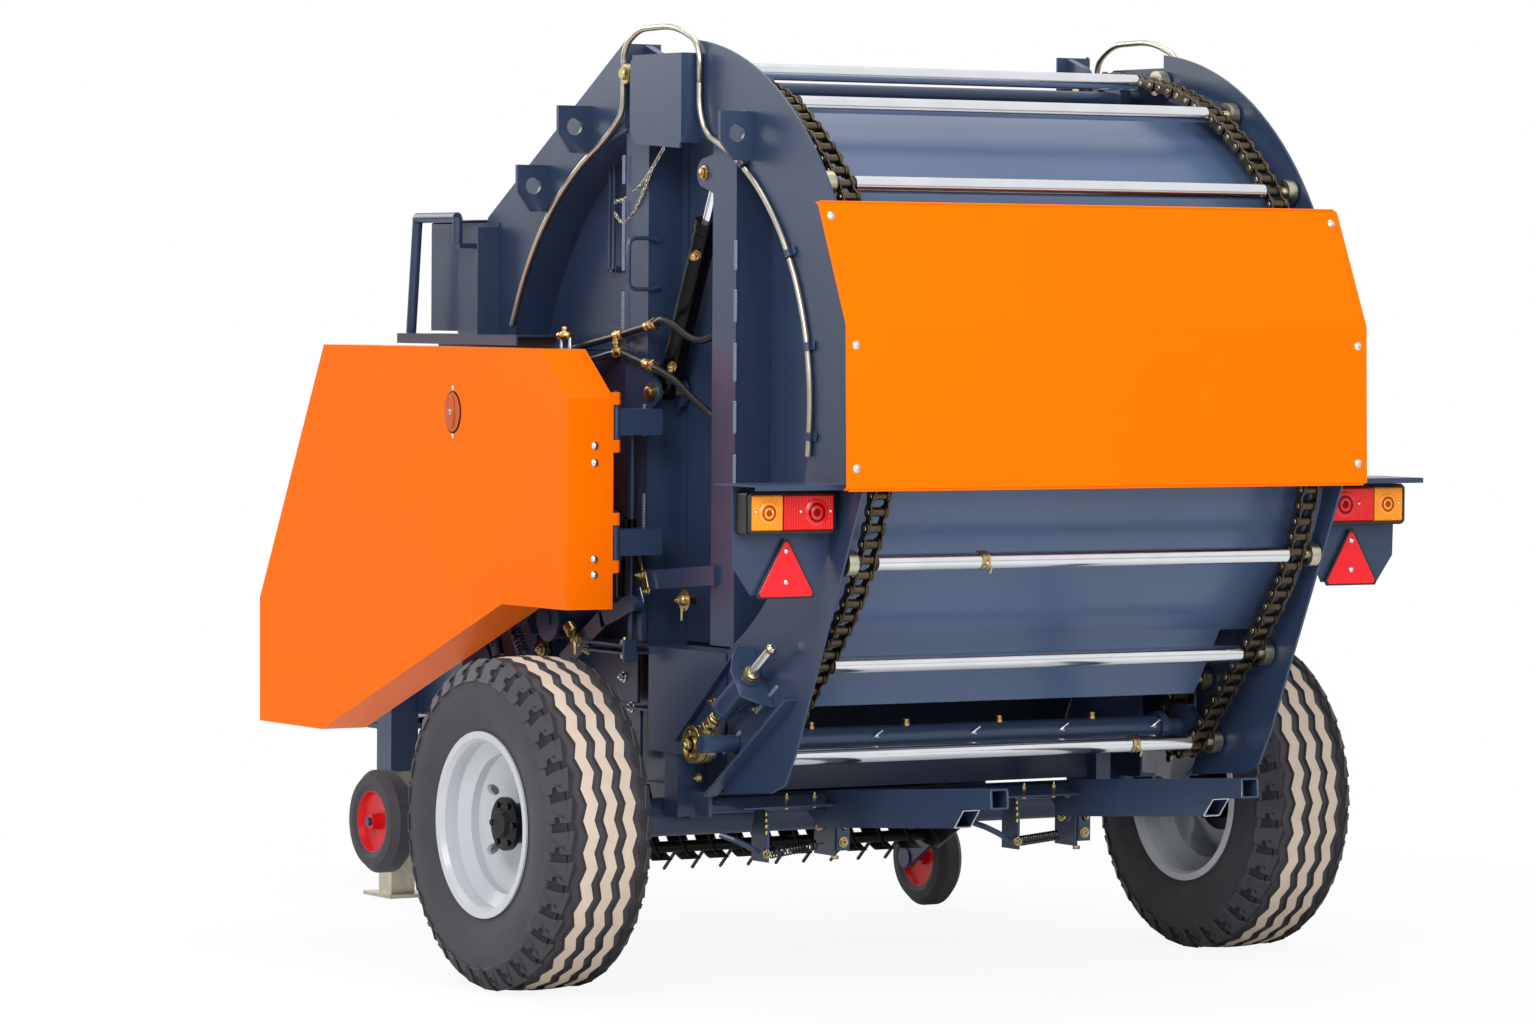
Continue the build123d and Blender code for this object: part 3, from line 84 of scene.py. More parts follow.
ACROSS, UP = Vector((0, 1, 0)), Vector((0, 0, 1))
Point2 = tuple[float, float]
Point3 = tuple[float, float, float]


def at(x: float, y: float, z: float) -> Vector:
    """A point given in millimetres from the wheel axle's middle and the ground."""
    return Vector((x * MM + AXLE_X, y * MM, z * MM))


def outward(side: int) -> Vector:
    """The direction away from the machine on one side."""
    return Vector((0, side, 0))


def stand(name: str, data: Any) -> bpy.types.Object:
    """Put data into the scene as an object.

    Args:
        name: the object's name.
        data: its mesh, camera or light.

    Returns:
        The object.
    """
    thing = bpy.data.objects.new(name, data)
    bpy.context.scene.collection.objects.link(thing)
    return thing


def linear(code: str) -> tuple[float, float, float, float]:
    """Turn a hex colour into linear values.

    Args:
        code: six hex digits.

    Returns:
        Red, green, blue and alpha for a shader socket.
    """
    parts = [int(code[i:i + 2], 16) / 255 for i in (0, 2, 4)]
    flat = [c / 12.92 if c < 0.04045 else ((c + 0.055) / 1.055) ** 2.4 for c in parts]
    return flat[0], flat[1], flat[2], 1.0


# ------------------------------------------------------------------ node trees
def grow(tree: bpy.types.NodeTree, kind: str, **values: Any) -> bpy.types.Node:
    """Add a node to a tree.

    Args:
        tree: where it goes.
        kind: the node's type.
        values: values by input name, with an underscore for a space, or attributes by name.

    Returns:
        The node.
    """
    made = tree.nodes.new(kind)
    for key, value in values.items():
        label = key.replace("_", " ")
        if label in made.inputs:
            made.inputs[label].default_value = value
        else:
            setattr(made, key, value)
    return made


def wire(tree: bpy.types.NodeTree, *pairs: tuple[bpy.types.NodeSocket, bpy.types.NodeSocket]) -> None:
    """Join sockets, each pair a source and its target."""
    for source, target in pairs:
        tree.links.new(source, target)


# ------------------------------------------------------------------ finishes
class Kind(Enum):
    """How a finish answers light: what its shader gets besides colour, roughness and grain."""

    PAINT = "paint"
    METAL = "metal"
    RUBBER = "rubber"
    LENS = "lens"
    PLASTIC = "plastic"


@dataclass(frozen=True)
class Finish:
    """One procedural finish.

    Attributes:
        name: the material's name.
        slot: the record's material slot that it belongs to.
        kind: how it answers light.
        colour: main colour, hex.
        patch: colour of its broad patches, hex.
        rough: middle roughness.
        spread: how far roughness wanders each way.
        broad: size of the patches, per metre.
        fine: size of the surface grain, per metre.
        depth: height of the grain, metres.
        edge: radius that catches the light along edges, metres.
        patch_share: how strongly patches show.
        gloss: specular level of the shader.
    """

    name: str
    slot: str
    kind: Kind
    colour: str
    patch: str
    rough: float
    spread: float = 0.06
    broad: float = 5.0
    fine: float = 900.0
    depth: float = 0.00004
    edge: float = 0.0
    patch_share: float = 0.5
    gloss: float = 0.5

    def material(self) -> bpy.types.Material:
        """Build or fetch the material.

        Returns:
            The Blender material with its nodes.
        """
        found = bpy.data.materials.get(self.name)
        if found:
            return found
        made = bpy.data.materials.new(self.name)
        made.use_nodes = True
        made.diffuse_color = linear(self.colour)
        FinishTree(made, self).build()
        return made


class FinishTree:
    """The node tree of one finish: broad patches, mottling, a smooth smear and fine grain."""

    MOTTLE_SCALE: ClassVar[float] = 9.0
    MOTTLE_SHADE: ClassVar[float] = 0.9
    SMEAR_SCALE: ClassVar[float] = 1.6
    GRAIN_STRENGTH: ClassVar[float] = 0.6
    ANSWERS: ClassVar[dict[Kind, dict[str, Any]]] = {
        Kind.PAINT: {},
        Kind.METAL: {"Metallic": 1.0},
        Kind.RUBBER: {"Specular IOR Level": 0.25},
        Kind.LENS: {"Specular IOR Level": 0.1, "Coat Weight": 0.04, "Coat Roughness": 0.05,
                    "Subsurface Weight": 0.1, "Subsurface Radius": (0.004, 0.002, 0.001)},
        Kind.PLASTIC: {"Specular IOR Level": 0.45},
    }

    def __init__(self, material: bpy.types.Material, finish: Finish) -> None:
        """Keep the tree, its shader and the place that its patterns follow."""
        self.tree = material.node_tree
        self.finish = finish
        self.shader = self.tree.nodes["Principled BSDF"]
        self.place = grow(self.tree, "ShaderNodeTexCoord").outputs["Object"]

    def noise(self, scale: float, detail: float, warp: float = 0.0) -> bpy.types.NodeSocket:
        """Noise on object coordinates.

        Args:
            scale: cells per metre.
            detail: octaves.
            warp: distortion.

        Returns:
            The noise value's socket.
        """
        made = grow(self.tree, "ShaderNodeTexNoise", Scale=scale, Detail=detail, Distortion=warp)
        wire(self.tree, (self.place, made.inputs["Vector"]))
        return made.outputs["Fac"]

    def remap(self, source: bpy.types.NodeSocket, low: float, high: float,
              start: float = 0.3, end: float = 0.7) -> bpy.types.NodeSocket:
        """Stretch a value between two levels.

        Args:
            source: the value.
            low: level at start.
            high: level at end.
            start: value that gives low.
            end: value that gives high.

        Returns:
            The new value's socket.
        """
        made = grow(self.tree, "ShaderNodeMapRange", From_Min=start, From_Max=end, To_Min=low, To_Max=high)
        wire(self.tree, (source, made.inputs["Value"]))
        return made.outputs["Result"]

    def mix(self, share: bpy.types.NodeSocket, first: Any, second: Any) -> bpy.types.NodeSocket:
        """Blend two colours.

        Args:
            share: how much of the second shows.
            first: colour or socket.
            second: colour or socket.

        Returns:
            The blended colour's socket.
        """
        made = grow(self.tree, "ShaderNodeMix", data_type="RGBA")
        factor, colours, result = made.inputs[0], made.inputs[6:8], made.outputs[2]
        wire(self.tree, (share, factor))
        for target, value in zip(colours, (first, second)):
            if isinstance(value, bpy.types.NodeSocket):
                wire(self.tree, (value, target))
            else:
                target.default_value = value
        return result

    def build(self) -> None:
        """Fill the tree."""
        f, inputs = self.finish, self.shader.inputs
        broad, mottle = self.noise(f.broad, 4.0, 0.4), self.noise(f.broad * self.MOTTLE_SCALE, 5.0)
        smear, grain = self.noise(f.broad * self.SMEAR_SCALE, 1.0), self.noise(f.fine, 2.0)
        base = self.mix(self.remap(broad, 0.0, f.patch_share), linear(f.colour), linear(f.patch))
        darker = tuple(c * self.MOTTLE_SHADE for c in linear(f.colour)[:3]) + (1.0,)
        tint = self.mix(self.remap(mottle, 0.0, f.patch_share / 2, 0.4, 0.8), base, darker)
        rough = self.remap(smear, f.rough - f.spread / 2, f.rough + f.spread / 2, 0.25, 0.75)
        bump = grow(self.tree, "ShaderNodeBump", Strength=self.GRAIN_STRENGTH, Distance=f.depth)
        wire(self.tree, (tint, inputs["Base Color"]), (rough, inputs["Roughness"]),
             (grain, bump.inputs["Height"]),
             (bump.outputs["Normal"], inputs["Normal"]))
        if f.edge:
            soft = grow(self.tree, "ShaderNodeBevel", Radius=f.edge, samples=4)
            wire(self.tree, (soft.outputs["Normal"], bump.inputs["Normal"]))
        for label, value in {"Specular IOR Level": f.gloss, **self.ANSWERS[f.kind]}.items():
            inputs[label].default_value = value


BLUE = Finish("blue_enamel", "blue_paint", Kind.PAINT, "2d3c57", "27354d", 0.3, 0.05, depth=0.000012)
# Lighter copy of the blue enamel for the wraps: painted light, standing in for the sheen that the broad wrap
# sheets catch from above.
BLUE_SHEET_PAINTED_LIGHT = Finish("blue_enamel_sheet", "blue_paint", Kind.PAINT, "4b5e7e", "42546f", 0.28, 0.05, 2.0,
                    depth=0.000012)
# Lighter copy of the blue enamel for the weld beads: a painted highlight along the seams.
BLUE_WELD_HIGHLIGHT = Finish("blue_enamel_weld", "blue_paint", Kind.PAINT, "6a7890", "52607a", 0.3, 0.05)
# Darker copy of the blue enamel for the chamber sill: painted shade, as the sill lies in the shadow under the
# chamber.
BLUE_PAINTED_SHADE = Finish("blue_enamel_shade", "blue_paint", Kind.PAINT, "1a2333", "141b29", 0.34, 0.05,
                   depth=0.000012)
ORANGE = Finish("orange_enamel", "orange_paint", Kind.PAINT, "fb7000", "f86a00", 0.3, 0.04, 2.0,
                patch_share=0.3, gloss=0.06)
LATCH = Finish("orange_latch", "orange_paint", Kind.PLASTIC, "c8560c", "a84408", 0.4, 0.06, 30.0)
RED = Finish("red_enamel", "red_paint", Kind.PAINT, "d4141c", "b81018", 0.34, 0.06, edge=0.001, gloss=0.3)
RIM = Finish("rim_silver", "rim_grey", Kind.PAINT, "c3c7cc", "b6babf", 0.24, 0.04, 3.0, patch_share=0.3)
BLACK = Finish("black_enamel", "black_paint", Kind.PAINT, "08090b", "050607", 0.24, 0.05, gloss=0.14)
CHROME = Finish("slat_chrome", "chrome_bar", Kind.METAL, "e2e4e8", "ccd0d6", 0.16, 0.05, 9.0, 1500.0)
CHAIN = Finish("chain_oiled", "chain_steel", Kind.METAL, "5e5344", "2e2923", 0.4, 0.12, 40.0, 1500.0)
CHAIN_PIN = Finish("chain_pin_bright", "chain_steel", Kind.METAL, "b3a793", "85796a", 0.26, 0.08, 60.0)
ZINC = Finish("zinc_yellow", "zinc", Kind.METAL, "bcab7c", "94825a", 0.3, 0.08, 60.0)
ZINC_BRIGHT = Finish("zinc_bright", "zinc", Kind.METAL, "d5d8dc", "b9bdc2", 0.24, 0.06, 60.0)
BRASS = Finish("brass_fitting", "zinc", Kind.METAL, "c39f66", "8a6d42", 0.3, 0.08, 80.0)
SPRING = Finish("spring_black_oxide", "steel", Kind.METAL, "4a4c50", "2c2d30", 0.3, 0.08, 60.0)
STEEL = Finish("machined_steel", "steel", Kind.METAL, "c2bca9", "9a9384", 0.3, 0.08, 30.0, edge=0.0006)
DARK_STEEL = Finish("pickup_steel", "black_paint", Kind.PAINT, "101114", "1b1a1a", 0.42, 0.08, 20.0,
                    gloss=0.3)
TYRE = Finish("tyre_rubber", "tyre", Kind.RUBBER, "403f44", "333237", 0.6, 0.08, 12.0, 1200.0, 0.0001)
TREAD = Finish("tread_dust", "tyre", Kind.RUBBER, "c9b9a8", "b5a18e", 0.85, 0.06, 18.0, 1600.0, 0.00012)
# Darker rubber for the tyre's shoulders: painted shade where the crown rounds over into the walls.
SHOULDER_PAINTED_SHADE = Finish("shoulder_shade", "tyre", Kind.RUBBER, "2a292c", "1f1e20", 0.75, 0.08, 22.0, 1200.0, 0.0001)
GROOVE = Finish("groove_rubber", "tyre", Kind.RUBBER, "454347", "2b2a2d", 0.75, 0.08, 22.0, 1200.0, 0.0001)
AMBER = Finish("lens_amber", "lens_amber", Kind.LENS, "dc5a00", "cc4e00", 0.12, 0.03, 30.0, patch_share=0.3)
RED_LENS = Finish("lens_red", "lens_red", Kind.LENS, "a4020a", "900208", 0.12, 0.03, 30.0, patch_share=0.3)
AMBER_DEEP = Finish("lens_amber_bulb", "lens_amber", Kind.LENS, "a84400", "8a3400", 0.14, 0.03, 60.0)
RED_DEEP = Finish("lens_red_bulb", "lens_red", Kind.LENS, "7c0208", "600206", 0.14, 0.03, 60.0)
LAMP = Finish("lamp_plastic", "lamp_black", Kind.PLASTIC, "141518", "0e0f11", 0.4, 0.06, 30.0)
REFLEX = Finish("reflex_red", "reflex_red", Kind.LENS, "d2081c", "c00618", 0.16, 0.04, 40.0, patch_share=0.3)
HOSE = Finish("hose_rubber", "black_paint", Kind.RUBBER, "151618", "0f1011", 0.34, 0.06, 40.0)
SHEATH = Finish("conduit_sheath", "steel", Kind.METAL, "b8b2a4", "8f8a7e", 0.34, 0.06, 30.0)
SLOT_FINISH = {finish.slot: finish for finish in (
    BLUE, ORANGE, RED, RIM, BLACK, CHROME, CHAIN, ZINC, STEEL, TYRE, RED_LENS, AMBER, LAMP, REFLEX)}
NODE_FINISH = {
    # The wraps take the lighter blue, which is painted light.
    "gate_wrap": BLUE_SHEET_PAINTED_LIGHT, "front_wrap": BLUE_SHEET_PAINTED_LIGHT, "conveyor_shafts": BLUE, "slat_rollers": STEEL,
    "hub_left": BLACK, "hub_right": BLACK, "conduit_chassis": SHEATH, "conduit_loop": SHEATH,
    "conduit_gate": SHEATH, "pickup_strippers": DARK_STEEL, "pickup_reel": DARK_STEEL,
}


# ------------------------------------------------------------------ drawing meshes
def axes_for(axis: Vector, side: Vector | None = None) -> tuple[Vector, Vector, Vector]:
    """Three unit directions with the given axis as the last.

    Args:
        axis: direction of the third.
        side: wished direction of the first.

    Returns:
        Two cross directions and the axis.
    """
    w = axis.normalized()
    ref = side if side is not None else (UP if abs(w.z) < 0.9 else FORE)
    u = (ref - w * ref.dot(w)).normalized()
    return u, w.cross(u), w


def ngon(radius: float, count: int, turn: float = 0.0) -> list[Point2]:
    """A regular outline, in millimetres."""
    return [(radius * math.cos(turn + math.tau * k / count), radius * math.sin(turn + math.tau * k / count))
            for k in range(count)]


def rounded(width: float, height: float, radius: float, steps: int = 4) -> list[Point2]:
    """A rectangle with round corners about its middle, in millimetres.

    Args:
        width: along the first direction.
        height: along the second.
        radius: of its corners.
        steps: runs in each corner.

    Returns:
        The outline's points.
    """
    points = []
    for k, (sx, sy) in enumerate(((1, 1), (-1, 1), (-1, -1), (1, -1))):
        for j in range(steps + 1):
            a = math.pi / 2 * (k + j / steps)
            points.append((sx * (width / 2 - radius) + radius * math.cos(a),
                           sy * (height / 2 - radius) + radius * math.sin(a)))
    return points


def oval(wide: float, high: float, count: int = 28) -> list[Point2]:
    """An ellipse's outline from its half sizes, in millimetres."""
    return [(wide * c, high * s) for c, s in ngon(1.0, count)]


def collar(inner: float, outer: float, half: float, ease: float = 1.0) -> list[Point2]:
    """A short sleeve's profile with eased edges, about height nought."""
    return [(inner, -half), (outer, ease - half), (outer, half - ease), (inner, half)]


def mirrored(half: Sequence[Point2]) -> list[Point2]:
    """A whole profile from its upper half."""
    return [(r, -h) for r, h in reversed(half) if h] + list(half)


def eased_line(points: Sequence[Vector], steps: int = 8) -> list[Vector]:
    """A smooth line through points.

    Args:
        points: places in order, metres.
        steps: runs between two of them.

    Returns:
        The line's points.
    """
    ends = [points[0] * 2 - points[1], *points, points[-1] * 2 - points[-2]]
    made = []
    for a, b, c, d in zip(ends, ends[1:], ends[2:], ends[3:]):
        for k in range(steps):
            t = k / steps
            made.append(0.5 * (b * 2 + (c - a) * t + (a * 2 - b * 5 + c * 4 - d) * t * t
                               + (b * 3 - a - c * 3 + d) * t ** 3))
    return [*made, points[-1]]


def evenly(line: Sequence[Vector], step: float) -> list[tuple[Vector, Vector]]:
    """Places and directions at even distances along a line.

    Args:
        line: its points, metres.
        step: the distance, millimetres.

    Returns:
        Each place with the line's direction there.
    """
    made, left = [], 0.0
    for p, q in zip(line, line[1:]):
        run, ahead = (q - p).length, (q - p).normalized()
        while left <= run:
            made.append((p + ahead * left, ahead))
            left += step * MM
        left -= run
    return made


def shrunk(outline: Sequence[Point2], by: float) -> list[Point2]:
    """An outline drawn in by a distance at each corner.

    Args:
        outline: points in order.
        by: the distance.

    Returns:
        The smaller outline.
    """
    area = sum(p[0] * q[1] - q[0] * p[1] for p, q in zip(outline, [*outline[1:], outline[0]]))
    sign = 1 if area > 0 else -1
    made = []
    for k, point in enumerate(outline):
        p = Vector(point)
        d0 = (p - Vector(outline[k - 1])).normalized()
        d1 = (Vector(outline[(k + 1) % len(outline)]) - p).normalized()
        n0, n1 = Vector((-d0.y, d0.x)) * sign, Vector((-d1.y, d1.x)) * sign
        both = n0 + n1
        reach = by / max(0.35, 1 + n0.dot(n1)) if both.length > 1e-6 else 0.0
        q = p + both * reach
        made.append((q.x, q.y))
    return made


class Draft:
    """Faces of one piece while it is drawn. Sizes are millimetres, places are metres."""

    def __init__(self, name: str) -> None:
        """Start empty."""
        self.name = name
        self.bm = bmesh.new()
        self.finishes: list[Finish] = []
        self.index = 0

    def use(self, finish: Finish) -> "Draft":
        """Give the next shapes this finish.

        Args:
            finish: the finish.

        Returns:
            The draft itself.
        """
        if finish not in self.finishes:
            self.finishes.append(finish)
        self.index = self.finishes.index(finish)
        return self

    def face(self, verts: Sequence[bmesh.types.BMVert]) -> None:
        """Add one face unless its corners fall together."""
        seen = list(dict.fromkeys(verts))
        if len(seen) > 2:
            made = self.bm.faces.new(seen)
            made.material_index = self.index

    def loft(self, rings: Sequence[Sequence[Vector]], caps: bool = True, loop: bool = False) -> None:
        """Skin rings of points.

        Args:
            rings: rings in order; a ring of one point is a tip.
            caps: close the first and last ring.
            loop: join the last ring to the first.
        """
        rows = [[self.bm.verts.new(p) for p in ring] for ring in rings]
        pairs = list(zip(rows, rows[1:]))
        if loop:
            pairs.append((rows[-1], rows[0]))
        for a, b in pairs:
            size = max(len(a), len(b))
            for k in range(size):
                j = (k + 1) % size
                self.face([a[k % len(a)], a[j % len(a)], b[j % len(b)], b[k % len(b)]])
        if caps and not loop:
            for row in (rows[0], rows[-1]):
                if len(row) > 2:
                    self.face(row)

    def lathe(self, profile: Sequence[Point2], base: Vector, axis: Vector, sides: int = 32,
              loop: bool = False, turn: float = 0.0) -> None:
        """Turn a profile of (radius, height) about an axis.

        Args:
            profile: points in millimetres.
            base: where height is nought.
            axis: direction of height.
            sides: facets round.
            loop: the profile closes on itself.
            turn: angle of the first facet.
        """
        u, v, w = axes_for(axis)
        rings = []
        for radius, height in profile:
            mid = base + w * height * MM
            if radius < 1e-6:
                rings.append([mid])
            else:
                rings.append([mid + (u * c + v * s) * MM for c, s in ngon(radius, sides, turn)])
        self.loft(rings, caps=not loop, loop=loop)

    def tube(self, path: Sequence[Vector], radius: float | Callable[[int], float], sides: int = 12,
             closed: bool = False) -> None:
        """A round tube along a path.

        Args:
            path: points in metres.
            radius: in millimetres, or a function of the point's number.
            sides: facets round.
            closed: the path joins its start.
        """
        count = len(path)
        u = None
        rings = []
        for k, point in enumerate(path):
            if closed:
                ahead = path[(k + 1) % count] - path[k - 1]
            else:
                ahead = path[min(k + 1, count - 1)] - path[max(k - 1, 0)]
            first, second, _ = axes_for(ahead, u)
            u = first
            r = (radius(k) if callable(radius) else radius) * MM
            rings.append([point + (first * c + second * s) * r for c, s in ngon(1.0, sides)])
        self.loft(rings, caps=not closed, loop=closed)

    def plate(self, outline: Sequence[Point2], origin: Vector, u: Vector, v: Vector, depth: float,
              bevel: float = 0.8) -> None:
        """A plate with eased edges.

        Args:
            outline: its corners in millimetres along u and v.
            origin: where the outline's zero lies.
            u: first direction.
            v: second direction.
            depth: thickness along u x v, in millimetres.
            bevel: how far its edges are eased.
        """
        w = u.cross(v).normalized()
        b = min(bevel, abs(depth) / 3)
        s = 1 if depth > 0 else -1
        levels = (((b, 0.0), (0.0, b * s), (0.0, depth - b * s), (b, depth)) if b
                  else ((0.0, 0.0), (0.0, depth)))
        rings = []
        for inset, height in levels:
            line = shrunk(outline, inset) if inset else outline
            rings.append([origin + (u * x + v * y + w * height) * MM for x, y in line])
        self.loft(rings)

    def box(self, middle: Vector, size: Point3, u: Vector = FORE, v: Vector = ACROSS,
            bevel: float = 1.0) -> None:
        """A block with eased edges about its middle.

        Args:
            middle: its middle, metres.
            size: along u, v and u x v, millimetres.
            u: first direction.
            v: second direction.
            bevel: how far its edges are eased.
        """
        w = u.cross(v).normalized()
        corner = min(bevel, size[0] / 4, size[1] / 4)
        outline = rounded(size[0], size[1], max(corner, 0.05), 1)
        self.plate(outline, middle - w * size[2] / 2 * MM, u, v, size[2], bevel)

    def bolt(self, place: Vector, axis: Vector, across: float, height: float, washer: float = 0.0) -> None:
        """A hexagon head with a crowned top, and a washer.

        Args:
            place: on the surface it clamps, metres.
            axis: outwards.
            across: flats, millimetres.
            height: of the head.
            washer: the washer's outer diameter, or nought.
        """
        r = across / 2 / math.cos(math.pi / 6)
        low = 0.0
        if washer:
            self.lathe([(washer / 2 - 0.4, 0), (washer / 2, 0.4), (washer / 2, 1.6), (washer / 2 - 0.4, 2)],
                       place, axis, 20)
            low = 2.0
        self.lathe([(r, low), (r, low + height * 0.8), (r * 0.86, low + height)], place, axis, 6)

    def dome(self, place: Vector, axis: Vector, radius: float, height: float) -> None:
        """A button head: a low dome with a flange under it."""
        self.lathe([(radius, 0), (radius, height * 0.2), (radius * 0.86, height * 0.35),
                    (radius * 0.62, height * 0.8),
                    (radius * 0.3, height), (0, height)], place, axis, 16)

    def nut(self, place: Vector, axis: Vector, across: float, height: float, bore: float) -> None:
        """A hexagon nut with a stud's end standing out of it."""
        self.bolt(place, axis, across, height, across * 1.5)
        self.lathe([(bore, 0), (bore, height + 6), (bore * 0.8, height + 8)], place, axis, 12)

    def nuts(self, rows: Iterable[tuple[float, float, float, float, float, float]], axis: Vector,
             side: int = 1) -> None:
        """Nuts on their studs, from a table.

        Args:
            rows: x, y and z of each, then its flats, its height and its stud's radius, all in millimetres.
            axis: outwards.
            side: left or right, which turns y.
        """
        for x, y, z, across, height, bore in rows:
            self.nut(at(x, side * y, z), axis, across, height, bore)

    def route(self, points: Iterable[Point3], radius: float, sides: int = 10, side: int = 1) -> None:
        """A round tube through a table of places.

        Args:
            points: x, y and z of each, millimetres.
            radius: of the tube.
            sides: facets round.
            side: left or right, which turns y.
        """
        self.tube([at(x, side * y, z) for x, y, z in points], radius, sides)

    def helix(self, start: Vector, end: Vector, radius: float, wire: float, turns: float,
              sides: int = 6, steps: int = 14) -> None:
        """A coil spring between two points.

        Args:
            start: first end, metres.
            end: other end.
            radius: mean radius of the coil, millimetres.
            wire: radius of the wire.
            turns: coils.
            sides: facets round the wire.
            steps: points in a turn.
        """
        u, v, _ = axes_for(end - start)
        count = int(turns * steps)
        path = []
        for k in range(count + 1):
            a = math.tau * turns * k / count
            path.append(start.lerp(end, k / count) + (u * math.cos(a) + v * math.sin(a)) * radius * MM)
        self.tube(path, wire, sides)

    def mesh(self, smooth: float = 35.0) -> bpy.types.Mesh:
        """Close the draft.

        Args:
            smooth: edges flatter than this many degrees are shaded smooth.

        Returns:
            The mesh with its materials.
        """
        bmesh.ops.recalc_face_normals(self.bm, faces=self.bm.faces[:])
        data = bpy.data.meshes.new(self.name)
        self.bm.to_mesh(data)
        self.bm.free()
        for finish in self.finishes:
            data.materials.append(finish.material())
        data.shade_smooth()
        data.set_sharp_from_angle(angle=math.radians(smooth))
        return data

    def ride(self, body: str, *replaced: str, smooth: float = 35.0) -> bpy.types.Object:
        """Finish the piece and set it on its body.

        Args:
            body: the body that carries it.
            replaced: nodes that it stands for.
            smooth: shading angle in degrees.

        Returns:
            The piece.
        """
        return set_on(self.name, self.mesh(smooth), body, self.finishes[0], replaced)


def set_on(name: str, data: bpy.types.Mesh, body: str, finish: Finish,
           replaced: Iterable[str] = ()) -> bpy.types.Object:
    """Put a mesh on a body as a piece.

    Args:
        name: the piece's name.
        data: its mesh, with its place in it.
        body: the body that carries it.
        finish: not used.
        replaced: nodes that it stands for.

    Returns:
        The piece.
    """
    piece = stand(name, data)
    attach(piece, body)
    if replaced:
        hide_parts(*replaced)
    LOG.info("%s on %s: %d faces", name, body, len(data.polygons))
    return piece


def bend_over(data: bpy.types.Mesh, first: Vector, last: Vector, finish: Finish,
              *replaced: str) -> bpy.types.Object:
    """Put a mesh into the scene as a piece between chassis and tailgate, baked in place on no body.

    Args:
        data: its mesh, named as the piece.
        first: where it leaves the chassis.
        last: where it meets the tailgate.
        finish: not used.
        replaced: nodes that it stands for.

    Returns:
        The piece.
    """
    piece = stand(data.name, data)
    tuple(first)
    tuple(last)
    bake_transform(piece)
    if replaced:
        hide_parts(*replaced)
    LOG.info("%s bends between chassis and tailgate", piece.name)
    return piece


# ------------------------------------------------------------------ repeats
@dataclass(frozen=True)
class Spot:
    """Where one copy goes: its place, its upward axis, its sideways axis and its size."""

    place: Vector
    axis: Vector
    side: Vector | None = None
    size: float = 1.0


